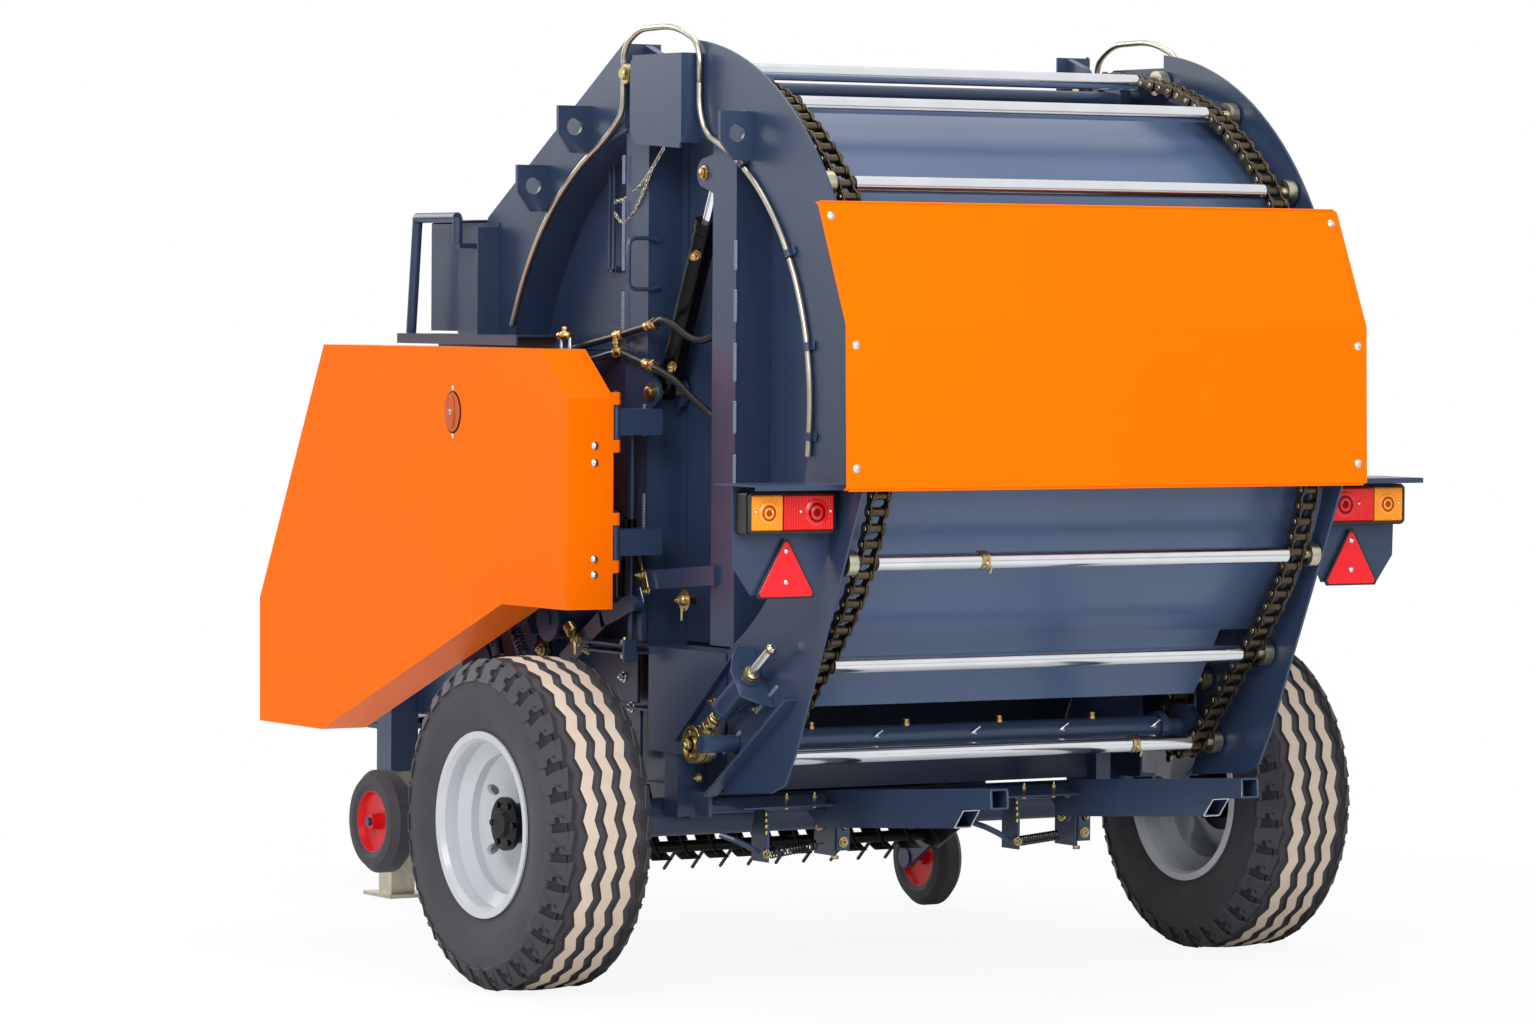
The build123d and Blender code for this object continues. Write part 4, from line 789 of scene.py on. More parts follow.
class Repeater:
    """Copies of one small shape set out by Geometry Nodes."""

    SOCKETS: ClassVar[tuple[tuple[str, str, str], ...]] = (
        ("Points", "INPUT", "Geometry"), ("Shape", "INPUT", "Object"), ("Scale", "INPUT", "Float"),
        ("Finish", "INPUT", "Material"), ("Result", "OUTPUT", "Geometry"),
    )
    LABELS: ClassVar[dict[str, str]] = {"axis": "FLOAT_VECTOR", "side": "FLOAT_VECTOR", "size": "FLOAT"}

    def __init__(self, name: str, template: Draft, finish: Finish) -> None:
        """Keep the shape to copy and its finish."""
        self.name = name
        self.finish = finish
        self.template = stand(f"{name}_one", template.mesh())
        self.spots: list[Spot] = []

    def add(self, place: Vector, axis: Vector, side: Vector | None = None, size: float = 1.0) -> None:
        """Ask for one more copy."""
        self.spots.append(Spot(place, axis, side, size))

    def label(self, tree: bpy.types.NodeTree, name: str) -> bpy.types.NodeSocket:
        """The socket that gives a value kept on each point."""
        made = grow(tree, "GeometryNodeInputNamedAttribute", data_type=self.LABELS[name], Name=name)
        return made.outputs["Attribute"]

    def tree(self) -> bpy.types.NodeTree:
        """Build the node tree.

        Returns:
            The Geometry Nodes tree, with the shape, its scale and its material as named inputs.
        """
        group = bpy.data.node_groups.new(f"{self.name}_set_out", "GeometryNodeTree")
        for label, way, kind in self.SOCKETS:
            group.interface.new_socket(label, in_out=way, socket_type=f"NodeSocket{kind}")
        start, end = grow(group, "NodeGroupInput").outputs, grow(group, "NodeGroupOutput").inputs
        shape, scale = (grow(group, "GeometryNodeObjectInfo"),
                        grow(group, "ShaderNodeMath", operation="MULTIPLY"))
        upright = grow(group, "FunctionNodeAlignRotationToVector", axis="Z", pivot_axis="AUTO")
        turned = grow(group, "FunctionNodeAlignRotationToVector", axis="X", pivot_axis="Z")
        copies = grow(group, "GeometryNodeInstanceOnPoints")
        real, dress = grow(group, "GeometryNodeRealizeInstances"), grow(group, "GeometryNodeSetMaterial")
        wire(group, (start["Shape"], shape.inputs["Object"]),
             (self.label(group, "axis"), upright.inputs["Vector"]),
             (self.label(group, "side"), turned.inputs["Vector"]),
             (upright.outputs["Rotation"], turned.inputs["Rotation"]),
             (self.label(group, "size"), scale.inputs[0]), (start["Scale"], scale.inputs[1]),
             (start["Points"], copies.inputs["Points"]),
             (shape.outputs["Geometry"], copies.inputs["Instance"]),
             (turned.outputs["Rotation"], copies.inputs["Rotation"]),
             (scale.outputs[0], copies.inputs["Scale"]),
             (copies.outputs["Instances"], real.inputs["Geometry"]),
             (real.outputs["Geometry"], dress.inputs["Geometry"]),
             (start["Finish"], dress.inputs["Material"]),
             (dress.outputs["Geometry"], end["Result"]))
        return group

    def carrier(self) -> bpy.types.Object:
        """A mesh of bare points that holds each copy's directions and size.

        Returns:
            The object, standing in the scene.
        """
        points = bpy.data.meshes.new(f"{self.name}_points")
        points.from_pydata([s.place for s in self.spots], [], [])
        for label, kind in self.LABELS.items():
            points.attributes.new(label, kind, "POINT")
        for k, spot in enumerate(self.spots):
            points.attributes["axis"].data[k].vector = spot.axis.normalized()
            points.attributes["side"].data[k].vector = axes_for(spot.axis, spot.side)[0]
            points.attributes["size"].data[k].value = spot.size
        return stand(f"{self.name}_carrier", points)

    def ride(self, body: str, *replaced: str) -> bpy.types.Object:
        """Set out the copies as one piece on a body.

        Args:
            body: the body that carries it.
            replaced: nodes that it stands for.

        Returns:
            The piece.
        """
        carrier = self.carrier()
        modifier = carrier.modifiers.new("set_out", "NODES")
        modifier.node_group = self.tree()
        keys = {i.name: i.identifier for i in modifier.node_group.interface.items_tree if i.in_out == "INPUT"}
        modifier[keys["Shape"]] = self.template
        modifier[keys["Scale"]] = 1.0
        modifier[keys["Finish"]] = self.finish.material()
        graph = bpy.context.evaluated_depsgraph_get()
        graph.update()
        data = bpy.data.meshes.new_from_object(carrier.evaluated_get(graph))
        data.name = self.name
        for label in self.LABELS:
            found = data.attributes.get(label)
            if found:
                data.attributes.remove(found)
        for thing in (carrier, self.template):
            bpy.data.objects.remove(thing)
        return set_on(self.name, data, body, self.finish, replaced)


# ------------------------------------------------------------------ road wheels
@dataclass
class RoadTyre:
    """A ribbed implement tyre with zig-zag grooves and moulded shoulder blocks.

    Attributes:
        side: left or right.
        middle_y: the tyre's middle across the machine.
        axle_z: height of its axle.
        top: radius of the crown.
        bead: radius of the bead.
        half: half its width.
        drop: how much lower the shoulder is than the crown.
        periods: turns of the zig-zag in a round.
        zig: how far the ribs swing each way.
        rib: width of a rib.
        pitch: from rib to rib.
        margin: from the outer groove to the shoulder.
        groove: depth of a groove.
        groove_wall: how far a groove's walls lean.
        shoulder: from the middle to the shoulder.
        facets: of the side walls round the tyre.
        wall_profile: share of the rise above the bead, then share of the half width.
        block_outline: share of a period round the tyre, then millimetres down the wall from the shoulder.
        block_levels: share drawn in, then height over the wall.
    """

    side: int
    middle_y: float = 971.0
    axle_z: float = 380.0
    top: float = 380.0
    bead: float = 194.5
    half: float = 132.0
    drop: float = 9.0
    periods: int = 33
    zig: float = 6.0
    rib: float = 27.0
    pitch: float = 49.0
    margin: float = 18.0
    groove: float = 9.0
    groove_wall: float = 2.0
    shoulder: float = 104.0
    facets: int = 132
    wall_profile: tuple[Point2, ...] = (
        (0.74, 0.935), (0.735, 0.968), (0.72, 0.985), (0.705, 0.978), (0.6, 0.997), (0.45, 0.995),
        (0.32, 0.965),
        (0.21, 0.92), (0.17, 0.905), (0.155, 0.9), (0.1, 0.885), (0.05, 0.86), (0.0, 0.8),
    )
    block_outline: tuple[Point2, ...] = (
        (0.02, -14), (0.08, 8), (0.10, 24), (0.16, 52), (0.80, 52), (0.82, 31), (0.60, 28), (0.58, 17),
        (0.80, 14),
        (0.80, -6),
    )
    block_levels: tuple[Point2, ...] = ((0.0, -3.0), (0.0, 3.4), (0.07, 4.6))

    def crown(self, y: float) -> float:
        """Radius of the tread at a place across it."""
        return self.top - self.drop * (y / self.shoulder) ** 2

    def spot(self, turn: float, radius: float, y: float) -> Vector:
        """A point of the tyre, from its angle, radius and place across."""
        return at(radius * math.cos(turn), self.side * self.middle_y + y,
                  self.axle_z + radius * math.sin(turn))

    def columns(self) -> list[tuple[float, float, bool]]:
        """The tread's section across the tyre.

        Returns:
            For each point its place across, its depth, and whether it follows the zig-zag.
        """
        ribs = [c + s * self.rib / 2 for c in (-self.pitch, 0.0, self.pitch) for s in (-1, 1)]
        made: list[tuple[float, float, bool]] = [(-self.shoulder, 0.0, False)]
        for k, y in enumerate([-self.shoulder + self.margin, *ribs, self.shoulder - self.margin]):
            if k % 2 == 0:
                made += [(y, 0.0, True), (y + self.groove_wall, self.groove, True)]
            else:
                made += [(y - self.groove_wall, self.groove, True), (y, 0.0, True)]
        return [*made, (self.shoulder, 0.0, False)]

    def tread(self, draft: Draft) -> None:
        """The crown: three ribs between four grooves, all following the zig-zag.

        Args:
            draft: where the faces go.
        """
        columns = self.columns()
        steps = self.periods * 4
        rows = []
        for k in range(steps):
            turn, shift = math.tau * k / steps, self.zig * (1, 0, -1, 0)[k % 4]
            row = []
            for y, deep, moves in columns:
                place = y + (shift if moves else 0.0)
                row.append(draft.bm.verts.new(self.spot(turn, self.crown(place) - deep, place)))
            rows.append(row)
        last = len(columns) - 2
        for a, b in zip(rows, [*rows[1:], rows[0]]):
            for j in range(last + 1):
                flat = columns[j][1] + columns[j + 1][1] == 0
                # The shoulder faces take the darker rubber, which is painted shade.
                draft.use(SHOULDER_PAINTED_SHADE if j in (0, last) else TREAD if flat else GROOVE)
                draft.face([a[j], a[j + 1], b[j + 1], b[j]])

    def wall_line(self) -> list[Point2]:
        """The side wall from shoulder to bead as (radius, place across)."""
        shoulder = [(self.crown(self.shoulder) - 4, self.shoulder), (self.top - 17, self.shoulder + 6),
                    (self.top - 28, self.half * 0.875)]
        rise = self.top - self.bead
        return shoulder + [(self.bead + rise * up, self.half * out) for up, out in self.wall_profile]

    def along_wall(self, distance: float) -> tuple[Vector, Vector]:
        """The side wall's point and outward normal at a distance from the shoulder.

        Args:
            distance: along the wall from the shoulder's edge, millimetres.

        Returns:
            Both as (radius, across).
        """
        line = [Vector(p) for p in self.wall_line()]
        for p, q in zip(line, line[1:]):
            run = (q - p).length
            if distance <= run:
                ahead = (q - p) / run
                return p + ahead * distance, Vector((-ahead.y, ahead.x)) * -1
            distance -= run
        return line[-1], Vector((0, 1))

    def walls(self, draft: Draft) -> None:
        """Both side walls and the bead seat.

        Args:
            draft: where the faces go.
        """
        seat = self.bead + 11
        line = [*self.wall_line(), (seat, self.half * 0.72), (seat, 0.0)]
        for s in SIDES:
            rings = [[self.spot(math.tau * k / self.facets, r, s * y) for k in range(self.facets)]
                     for r, y in line]
            # The shoulder rings take the darker rubber, which is painted shade.
            draft.use(SHOULDER_PAINTED_SHADE).loft(rings[:4], caps=False)
            draft.use(TYRE).loft(rings[3:], caps=False)

    def lifted(self, share: float, distance: float, height: float) -> Vector:
        """A point over the shoulder, round the wheel's axis.

        Args:
            share: of a period round the tyre.
            distance: down the wall from the shoulder; over the tread where it is below nought.
            height: over the surface.

        Returns:
            The point, metres.
        """
        if distance >= 0:
            point, normal = self.along_wall(distance)
        else:
            point, normal = (Vector((self.crown(self.shoulder + distance), self.shoulder + distance)),
                             Vector((1, 0)))
        point = point + normal * height
        a = math.tau / self.periods * share
        return Vector((point.x * math.cos(a), point.y, point.x * math.sin(a))) * MM

    def block(self) -> Draft:
        """One moulded shoulder block with its notch, drawn at angle nought.

        Returns:
            The block's draft, round the origin of the wheel's axis.
        """
        draft = Draft("shoulder_block").use(TYRE)
        outline = self.block_outline
        middle_a = sum(p[0] for p in outline) / len(outline)
        middle_d = sum(p[1] for p in outline) / len(outline)
        draft.loft([[self.lifted(a + (middle_a - a) * inset, d + (middle_d - d) * inset, height)
                     for a, d in outline]
                    for inset, height in self.block_levels])
        return draft

    def blocks(self) -> Repeater:
        """The shoulder blocks of both shoulders, one for each turn of the zig-zag.

        Returns:
            The repeater that sets them out.
        """
        made = Repeater(f"shoulder_blocks_{SIDE_NAME[self.side]}", self.block(), TYRE)
        centre = at(0, self.side * self.middle_y, self.axle_z)
        for k in range(self.periods):
            for s in SIDES:
                a = math.tau * (k + 0.25 * s) / self.periods
                made.add(centre, Vector((-math.sin(a), 0, math.cos(a))) * s,
                         Vector((math.cos(a), 0, math.sin(a))))
        return made

    def make(self) -> None:
        """Build the tyre on its wheel."""
        name = SIDE_NAME[self.side]
        draft = Draft(f"road_tyre_{name}")
        self.tread(draft)
        self.walls(draft)
        bmesh.ops.remove_doubles(draft.bm, verts=draft.bm.verts[:], dist=1e-5)
        draft.ride(f"wheel_{name}", f"tyre_{name}", smooth=40)
        self.blocks().ride(f"wheel_{name}")


# ------------------------------------------------------------------ conveyor chains
@dataclass(frozen=True)
class Turn:
    """A circle that the chain runs round: its centre, radius and way of turning."""

    centre: Point2
    radius: float
    way: int

    def leave(self, other: "Turn") -> tuple[Vector, Vector]:
        """Where the run to the next circle leaves this one and meets that.

        Args:
            other: the next circle.

        Returns:
            Both points in millimetres.
        """
        gap = Vector(other.centre) - Vector(self.centre)
        phi = (math.atan2(gap.y, gap.x)
               - math.asin((other.way * other.radius - self.way * self.radius) / gap.length))
        normal = Vector((-math.sin(phi), math.cos(phi)))
        return (Vector(self.centre) - normal * self.way * self.radius,
                Vector(other.centre) - normal * other.way * other.radius)


@dataclass
class Conveyor:
    """The slat chains: link plates, rollers and pins along their closed path."""

    pitch: float = 38.1
    run_centre: Point2 = (-130.0, 1335.0)
    run_radius: float = 757.0
    lower: Point2 = (-380.0, 576.0)
    lower_teeth: int = 10
    upper: Point2 = (-75.0, 2052.0)
    upper_teeth: int = 9
    inner_centre: Point2 = (-70.0, 1338.0)
    inner_radius: float = 651.5
    first_turn: float = 139.5
    middle_y: float = 581.0
    plate_high: float = 30.0
    plate_thick: float = 4.0
    outer_gap: float = 44.0
    inner_gap: float = 34.0
    stations: list[Vector] = field(default_factory=list)

    def circles(self) -> list[Turn]:
        """The circles that the chain runs round, in order."""
        lower_r, upper_r = (self.pitch / (2 * math.sin(math.pi / n))
                            for n in (self.lower_teeth, self.upper_teeth))
        return [Turn(self.run_centre, self.run_radius, 1), Turn(self.lower, lower_r, 1),
                Turn(self.inner_centre, self.inner_radius, -1), Turn(self.upper, upper_r, 1)]

    def place(self) -> None:
        """Find the pins' places along the path."""
        rings = self.circles()
        runs = [c.leave(rings[(k + 1) % len(rings)]) for k, c in enumerate(rings)]
        pieces: list[tuple[float, Callable[[float], Vector]]] = []
        offset = 0.0
        for k, ring in enumerate(rings):
            (cx, cy), r = ring.centre, ring.radius
            start, end = runs[k - 1][1] - Vector(ring.centre), runs[k][0] - Vector(ring.centre)
            a0, a1 = math.atan2(start.y, start.x), math.atan2(end.y, end.x)
            turn = (a1 - a0) * ring.way % math.tau
            if k == 0:
                offset = (math.radians(self.first_turn) - a0) % math.tau * r
            pieces.append((turn * r, lambda t, cx=cx, cy=cy, r=r, a0=a0, g=ring.way * turn: Vector(
                (cx + r * math.cos(a0 + g * t), cy + r * math.sin(a0 + g * t)))))
            pieces.append(((runs[k][1] - runs[k][0]).length,
                           lambda t, p=runs[k][0], q=runs[k][1]: p.lerp(q, t)))
        total = sum(length for length, _ in pieces)
        count = round(total / self.pitch / 2) * 2
        for k in range(count):
            s = (offset + k * total / count) % total
            for length, point in pieces:
                if s <= length:
                    self.stations.append(point(s / length))
                    break
                s -= length

    def link(self, name: str, gap: float) -> Draft:
        """One link: two waisted plates with a roller and pins between.

        Args:
            name: the draft's name.
            gap: between the plates' middles, millimetres.

        Returns:
            The link about its middle, its length along X and its pins along Z.
        """
        draft = Draft(name).use(CHAIN)
        half, r = self.pitch / 2, self.plate_high / 2
        outline = []
        for end in (1, -1):
            for k in range(7):
                a = -math.pi / 2 * end + math.pi * k / 6
                outline.append((half * end + r * math.cos(a), r * math.sin(a)))
            outline.append((0.0, r * 0.62 * end))
        for s in SIDES:
            draft.plate(outline, UP * (s * gap / 2 - self.plate_thick / 2) * MM, FORE, ACROSS,
                        self.plate_thick, 0.7)
        return draft

    def make(self) -> None:
        """Build both chains."""
        self.place()
        outer = Repeater("chain_outer_links", self.link("outer_link", self.outer_gap), CHAIN)
        inner = Repeater("chain_inner_links", self.link("inner_link", self.inner_gap), CHAIN)
        barrel, head = Draft("chain_barrel").use(CHAIN), Draft("chain_pin").use(CHAIN_PIN)
        barrel.lathe(collar(9.5, 10.5, 15), Vector(), UP, 12)
        head.lathe(collar(5.6, 6.4, 25), Vector(), UP, 10)
        rollers, pins = Repeater("chain_rollers", barrel, CHAIN), Repeater("chain_pins", head, CHAIN_PIN)
        for s in SIDES:
            for k, (p, q) in enumerate(zip(self.stations, [*self.stations[1:], self.stations[0]])):
                middle, ahead = (p + q) / 2, q - p
                (outer if k % 2 else inner).add(at(middle.x, s * self.middle_y, middle.y), ACROSS,
                                                Vector((ahead.x, 0, ahead.y)))
                for small in (rollers, pins):
                    small.add(at(p.x, s * self.middle_y, p.y), ACROSS)
        outer.ride("tailgate", "slat_chains")
        for one in (inner, rollers, pins):
            one.ride("tailgate")


# ------------------------------------------------------------------ trim of the covers, panel and lamps
@dataclass
class Sided:
    """Pieces that are built once for each side of the machine."""

    side: int

    @property
    def name(self) -> str:
        """The side's name."""
        return SIDE_NAME[self.side]

    @property
    def out(self) -> Vector:
        """The direction away from the machine."""
        return outward(self.side)

    def at(self, x: float, y: float, z: float) -> Vector:
        """A point in millimetres, with y counted outwards."""
        return at(x, self.side * y, z)


@dataclass
class CoverTrim:
    """Latches and bolts on the folded side covers."""

    face_y: float = 900.0
    latch: Point2 = (495.0, 1303.0)
    flange_x: float = -49.0
    bolt_y: float = 828.0
    bolt_levels: tuple[float, ...] = (1237.0, 1198.0, 979.0, 943.0)
    screw_reach: float = 56.0

    def make(self) -> None:
        """Build the trim of both covers."""
        for s in SIDES:
            name, out, along = SIDE_NAME[s], outward(s), Vector((-s, 0, 0))
            place = at(self.latch[0], s * self.face_y, self.latch[1])
            draft = Draft(f"cover_latch_{name}").use(BLACK)
            draft.plate(oval(40, 50), place, along, UP, 1.0, 0.4)
            draft.use(LATCH).plate(oval(36, 46), place + out * MM, along, UP, 2.4, 1.2)
            draft.plate(oval(13, 38, 20), place + out * 3.2 * MM, along, UP, 3.0, 1.2)
            draft.use(ZINC_BRIGHT).lathe([(6, 0), (6, 4), (4.6, 5), (0, 5)], place + out * 5 * MM, out, 16)
            for z in (-self.screw_reach, self.screw_reach):
                draft.dome(place + UP * z * MM, out, 5.5, 3.0)
            draft.use(BLACK).box(place + out * 10.2 * MM, (1.4, 7.0, 0.8), along, UP, 0.2)
            draft.ride(f"cover_{name}")
            bolts = Draft(f"cover_bolts_{name}").use(ZINC_BRIGHT)
            for z in self.bolt_levels:
                bolts.dome(at(self.flange_x, s * self.bolt_y, z), BACK, 9.5, 6.0)
            bolts.ride(f"cover_{name}")


@dataclass
class PanelTrim:
    """Screws and fold beads on the rear panel."""

    top: Point2 = (-797.0, 1782.0)
    fold: Point2 = (-914.0, 1520.0)
    foot: Point2 = (-922.0, 1164.0)
    half: float = 702.0
    screw_y: float = 677.0
    screw_levels: tuple[float, ...] = (1475.0, 1208.0)
    screw_inset: float = 27.0

    def make(self) -> None:
        """Build the panel's trim."""
        (top_x, top_z), (fold_x, fold_z), (foot_x, foot_z) = self.top, self.fold, self.foot
        screws, hem = Draft("panel_screws").use(ZINC_BRIGHT), Draft("panel_hems").use(ORANGE)
        upper = Vector((fold_z - top_z, 0, top_x - fold_x)).normalized()
        rear = Vector((-1, 0, 0.02)).normalized()
        run = (top_x - fold_x) / (top_z - fold_z)
        for s in SIDES:
            screws.dome(at(top_x - run * self.screw_inset, s * self.screw_y, top_z - self.screw_inset), upper,
                        9.5, 5.0)
            for z in self.screw_levels:
                x = fold_x + (foot_x - fold_x) * (fold_z - z) / (fold_z - foot_z)
                screws.dome(at(x, s * self.screw_y, z), rear, 9.5, 5.0)
        for x, z in ((top_x, top_z + 3.0), (foot_x, foot_z - 3.0)):
            hem.route([(x + 6, y, z) for y in (-self.half + 8, 0, self.half - 8)], 3.4)
        screws.ride("tailgate")
        hem.ride("tailgate")


@dataclass
class LampTrim:
    """Fluted lenses with their bulb rings, screws and seals, and the rimmed triangles."""

    face_x: float = -820.0
    deep: float = 8.0
    low: float = 1071.0
    high: float = 1149.0
    # inner and outer edge across
    amber: Point2 = (802.0, 882.0)
    red: Point2 = (672.0, 798.0)
    lens_screws: tuple[float, ...] = (829.0, 870.0, 680.0, 756.0)
    screw_z: float = 1113.0
    triangle_x: float = -776.0
    triangle_y: float = 767.0
    triangle_z: float = 925.0
    triangle_side: float = 150.0
    triangle_screws: Point2 = (1026.0, 958.0)

    def lens(self, draft: Draft, side: int, span: Point2, flute: float) -> None:
        """One lens with upright flutes on its face.

        Args:
            draft: where it is drawn.
            side: left or right.
            span: its inner and outer edge across.
            flute: width of a flute.
        """
        inner, outer = span
        steps = round((outer - inner) / flute) * 4
        line = [(self.face_x - 1.4 * math.sin(math.pi * (k % 4) / 4), inner + (outer - inner) * k / steps)
                for k in range(steps + 1)]
        line += [(self.face_x + self.deep, outer), (self.face_x + self.deep, inner)]
        levels = ((self.low, 3.0), (self.low + 3, 0.0), (self.high - 3, 0.0), (self.high, 3.0))
        draft.loft([[at(x + (inset if x < self.face_x + 1 else 0), side * y, z) for x, y in line]
                    for z, inset in levels])

    def bulb(self, draft: Draft, place: Vector, radius: float, deep: Finish, rim: Finish) -> None:
        """The round optic over a bulb.

        Args:
            draft: where it is drawn.
            place: its middle on the lens.
            radius: its outer radius.
            deep: finish of its darker middle.
            rim: finish of its rings.
        """
        for share, finish in ((1.0, rim), (0.78, deep), (0.56, rim), (0.34, deep)):
            r, rise = radius * share, 1.6 * (1 - share)
            draft.use(finish).lathe([(r, 0), (r, 2.2 + rise), (r - 2.5, 3.4 + rise), (0, 3.2)], place, BACK,
                                    28)

    def seal(self, draft: Draft, side: int) -> None:
        """The rubber frame round both lenses.

        Args:
            draft: where it is drawn.
            side: left or right.
        """
        middle = at(self.face_x + 6, side * (self.red[0] + self.amber[1]) / 2, (self.low + self.high) / 2)
        wide, high = self.amber[1] - self.red[0] + 12, self.high - self.low + 12
        outer, inner = rounded(wide, high, 10), rounded(wide - 11, high - 11, 5)
        draft.loft([[middle + (ACROSS * -x + UP * y) * MM + BACK * d * MM for x, y in line]
                    for line, d in ((outer, -4.0), (outer, 7.0), (inner, 8.5), (inner, -4.0))], caps=False,
                   loop=True)

    def triangle(self, inset: float) -> list[Point2]:
        """The triangle's outline with clipped corners, drawn in by an inset."""
        third = self.triangle_side * math.sqrt(3) / 2 / 3
        reach = (2 * third - 2 * inset) * 0.97
        turns = [math.pi / 2 + math.tau * k / 3 + clip for k in range(3) for clip in (-0.06, 0.06)]
        return [(reach * math.cos(a), third + reach * math.sin(a)) for a in turns]

    def make(self) -> None:
        """Build the trim of both lamp clusters."""
        amber, red = Draft("lamp_lens_outer").use(AMBER), Draft("lamp_lens_inner").use(RED_LENS)
        seal, screws = Draft("lamp_seals").use(LAMP), Draft("lamp_screws").use(ZINC_BRIGHT)
        reflex, rims = Draft("triangle_faces").use(REFLEX), Draft("triangle_rims").use(LAMP)
        level = (self.low + self.high) / 2
        for s in SIDES:
            self.lens(amber.use(AMBER), s, self.amber, 5.0)
            self.lens(red.use(RED_LENS), s, self.red, 6.3)
            self.bulb(amber, at(self.face_x, s * 838.0, level), 25.0, AMBER_DEEP, AMBER)
            self.bulb(red, at(self.face_x, s * 716.0, level), 30.0, RED_DEEP, RED_LENS)
            self.seal(seal, s)
            for y in self.lens_screws:
                screws.dome(at(self.face_x - 2, s * y, self.screw_z), BACK, 3.6, 2.5)
            for z in self.triangle_screws:
                screws.dome(at(self.triangle_x - 4.4, s * self.triangle_y, z), BACK, 6.0, 3.5)
            corner = at(self.triangle_x, s * self.triangle_y, self.triangle_z)
            rims.plate(self.triangle(0.0), corner, -ACROSS, UP, 3.0, 0.6)
            reflex.plate(self.triangle(4.0), corner + BACK * 2.6 * MM, -ACROSS, UP, 1.8, 0.8)
        amber.ride("tailgate", "lamp_lenses_amber")
        red.ride("tailgate", "lamp_lenses_red")
        rims.ride("tailgate", "warning_triangles")
        for draft in (seal, screws, reflex):
            draft.ride("tailgate")


# ------------------------------------------------------------------ hinge, chain, handles
@dataclass
class UpperFittings:
    """Pins, safety chain, pull handle, slotted strap and conduit clips round the tailgate hinge."""

    hinge: Point2 = (70.0, 2088.0)
    ring_centre: Point2 = (-70.0, 1338.0)
    clip_radius: float = 631.0
    clip_turns: tuple[float, ...] = (122, 148, 168, 186, 200)
    conduit_y: float = 659.0
    chain_runs: tuple[tuple[Point3, ...], ...] = (
        ((-34, 646, 1912), (8, 648, 1872), (62, 645, 1836), (140, 636, 1806), (214, 628, 1796)),
        ((10, 650, 1866), (58, 648, 1806), (112, 642, 1762), (168, 634, 1748), (216, 628, 1772)),
    )
    chain_pitch: float = 12.5
    handle_x: float = 25.0
    handle: tuple[Point2, ...] = (
        (618, 1706), (640, 1711), (684, 1711), (696, 1706), (700, 1694), (700, 1610), (696, 1599),
        (684, 1594),
        (640, 1594), (618, 1599),
    )
    strap_x: float = 322.0
    strap_blocks: tuple[tuple[float, float, float, Point3], ...] = (
        (0, 565, 1640, (34, 14, 16)), (0, 565, 1890, (34, 14, 16)), (-10, 573, 1765, (8, 262, 6)),
        (10, 573, 1765, (8, 262, 6)), (0, 573, 1637, (28, 8, 6)), (0, 573, 1893, (28, 8, 6)),
    )

    def chain(self, side: int) -> list[Spot]:
        """Where the safety chain's links lie.

        Args:
            side: left or right.

        Returns:
            One spot for each link, turned in turn.
        """
        spots = []
        for run in self.chain_runs:
            line = eased_line([at(x, side * y, z) for x, y, z in run])
            for k, (place, ahead) in enumerate(evenly(line, self.chain_pitch)):
                tilt = ACROSS if k % 2 else Vector((0.5, 0, 1)).cross(ahead).cross(ahead) * -1
                spots.append(Spot(place, ahead, tilt))
        return spots

    def clip(self, draft: Draft, side: int, degrees: float) -> None:
        """One conduit clip on the tailgate's ring.

        Args:
            draft: where it is drawn.
            side: left or right.
            degrees: its place round the ring.
        """
        a = math.radians(degrees)
        away, along = Vector((math.cos(a), 0, math.sin(a))), Vector((-math.sin(a), 0, math.cos(a)))
        middle = at(self.ring_centre[0] + self.clip_radius * away.x, side * self.conduit_y,
                    self.ring_centre[1] + self.clip_radius * away.z)
        draft.lathe([(7.6, -9), (9.2, -9), (9.2, 9), (7.6, 9)], middle, along, 16, loop=True)
        draft.box(middle + away * 14 * MM - outward(side) * 5 * MM, (16, 18, 3), away, along)

    def make(self) -> None:
        """Build the fittings of both sides."""
        link = Draft("chain_loop").use(STEEL)
        link.tube([Vector((x * 0.62, 0, z)) * MM for x, z in rounded(12, 19, 5.9, 3)], 1.5, 6, closed=True)
        chain = Repeater("safety_chains", link, STEEL)
        nuts, pulls = Draft("hinge_nuts").use(ZINC), Draft("pull_handles").use(BLUE)
        straps, clips = Draft("slotted_straps").use(BLUE), Draft("conduit_clips").use(BLUE)
        for s in SIDES:
            out, place = outward(s), at(self.hinge[0], s * 684, self.hinge[1])
            chain.spots.extend(self.chain(s))
            nuts.lathe([(22, 0), (22, 3), (13, 3), (13, 12), (11, 14)], place, out, 24)
            nuts.bolt(place + out * 3 * MM, out, 26, 9)
            pulls.route([(self.handle_x, y, z) for y, z in self.handle], 5.5, 10, s)
            for shift, y, z, size in self.strap_blocks:
                straps.box(at(self.strap_x + shift, s * y, z), size, FORE, UP)
            for degrees in self.clip_turns:
                self.clip(clips, s, degrees)
        for piece in (chain, nuts, pulls, straps):
            piece.ride("chassis")
        clips.ride("tailgate")


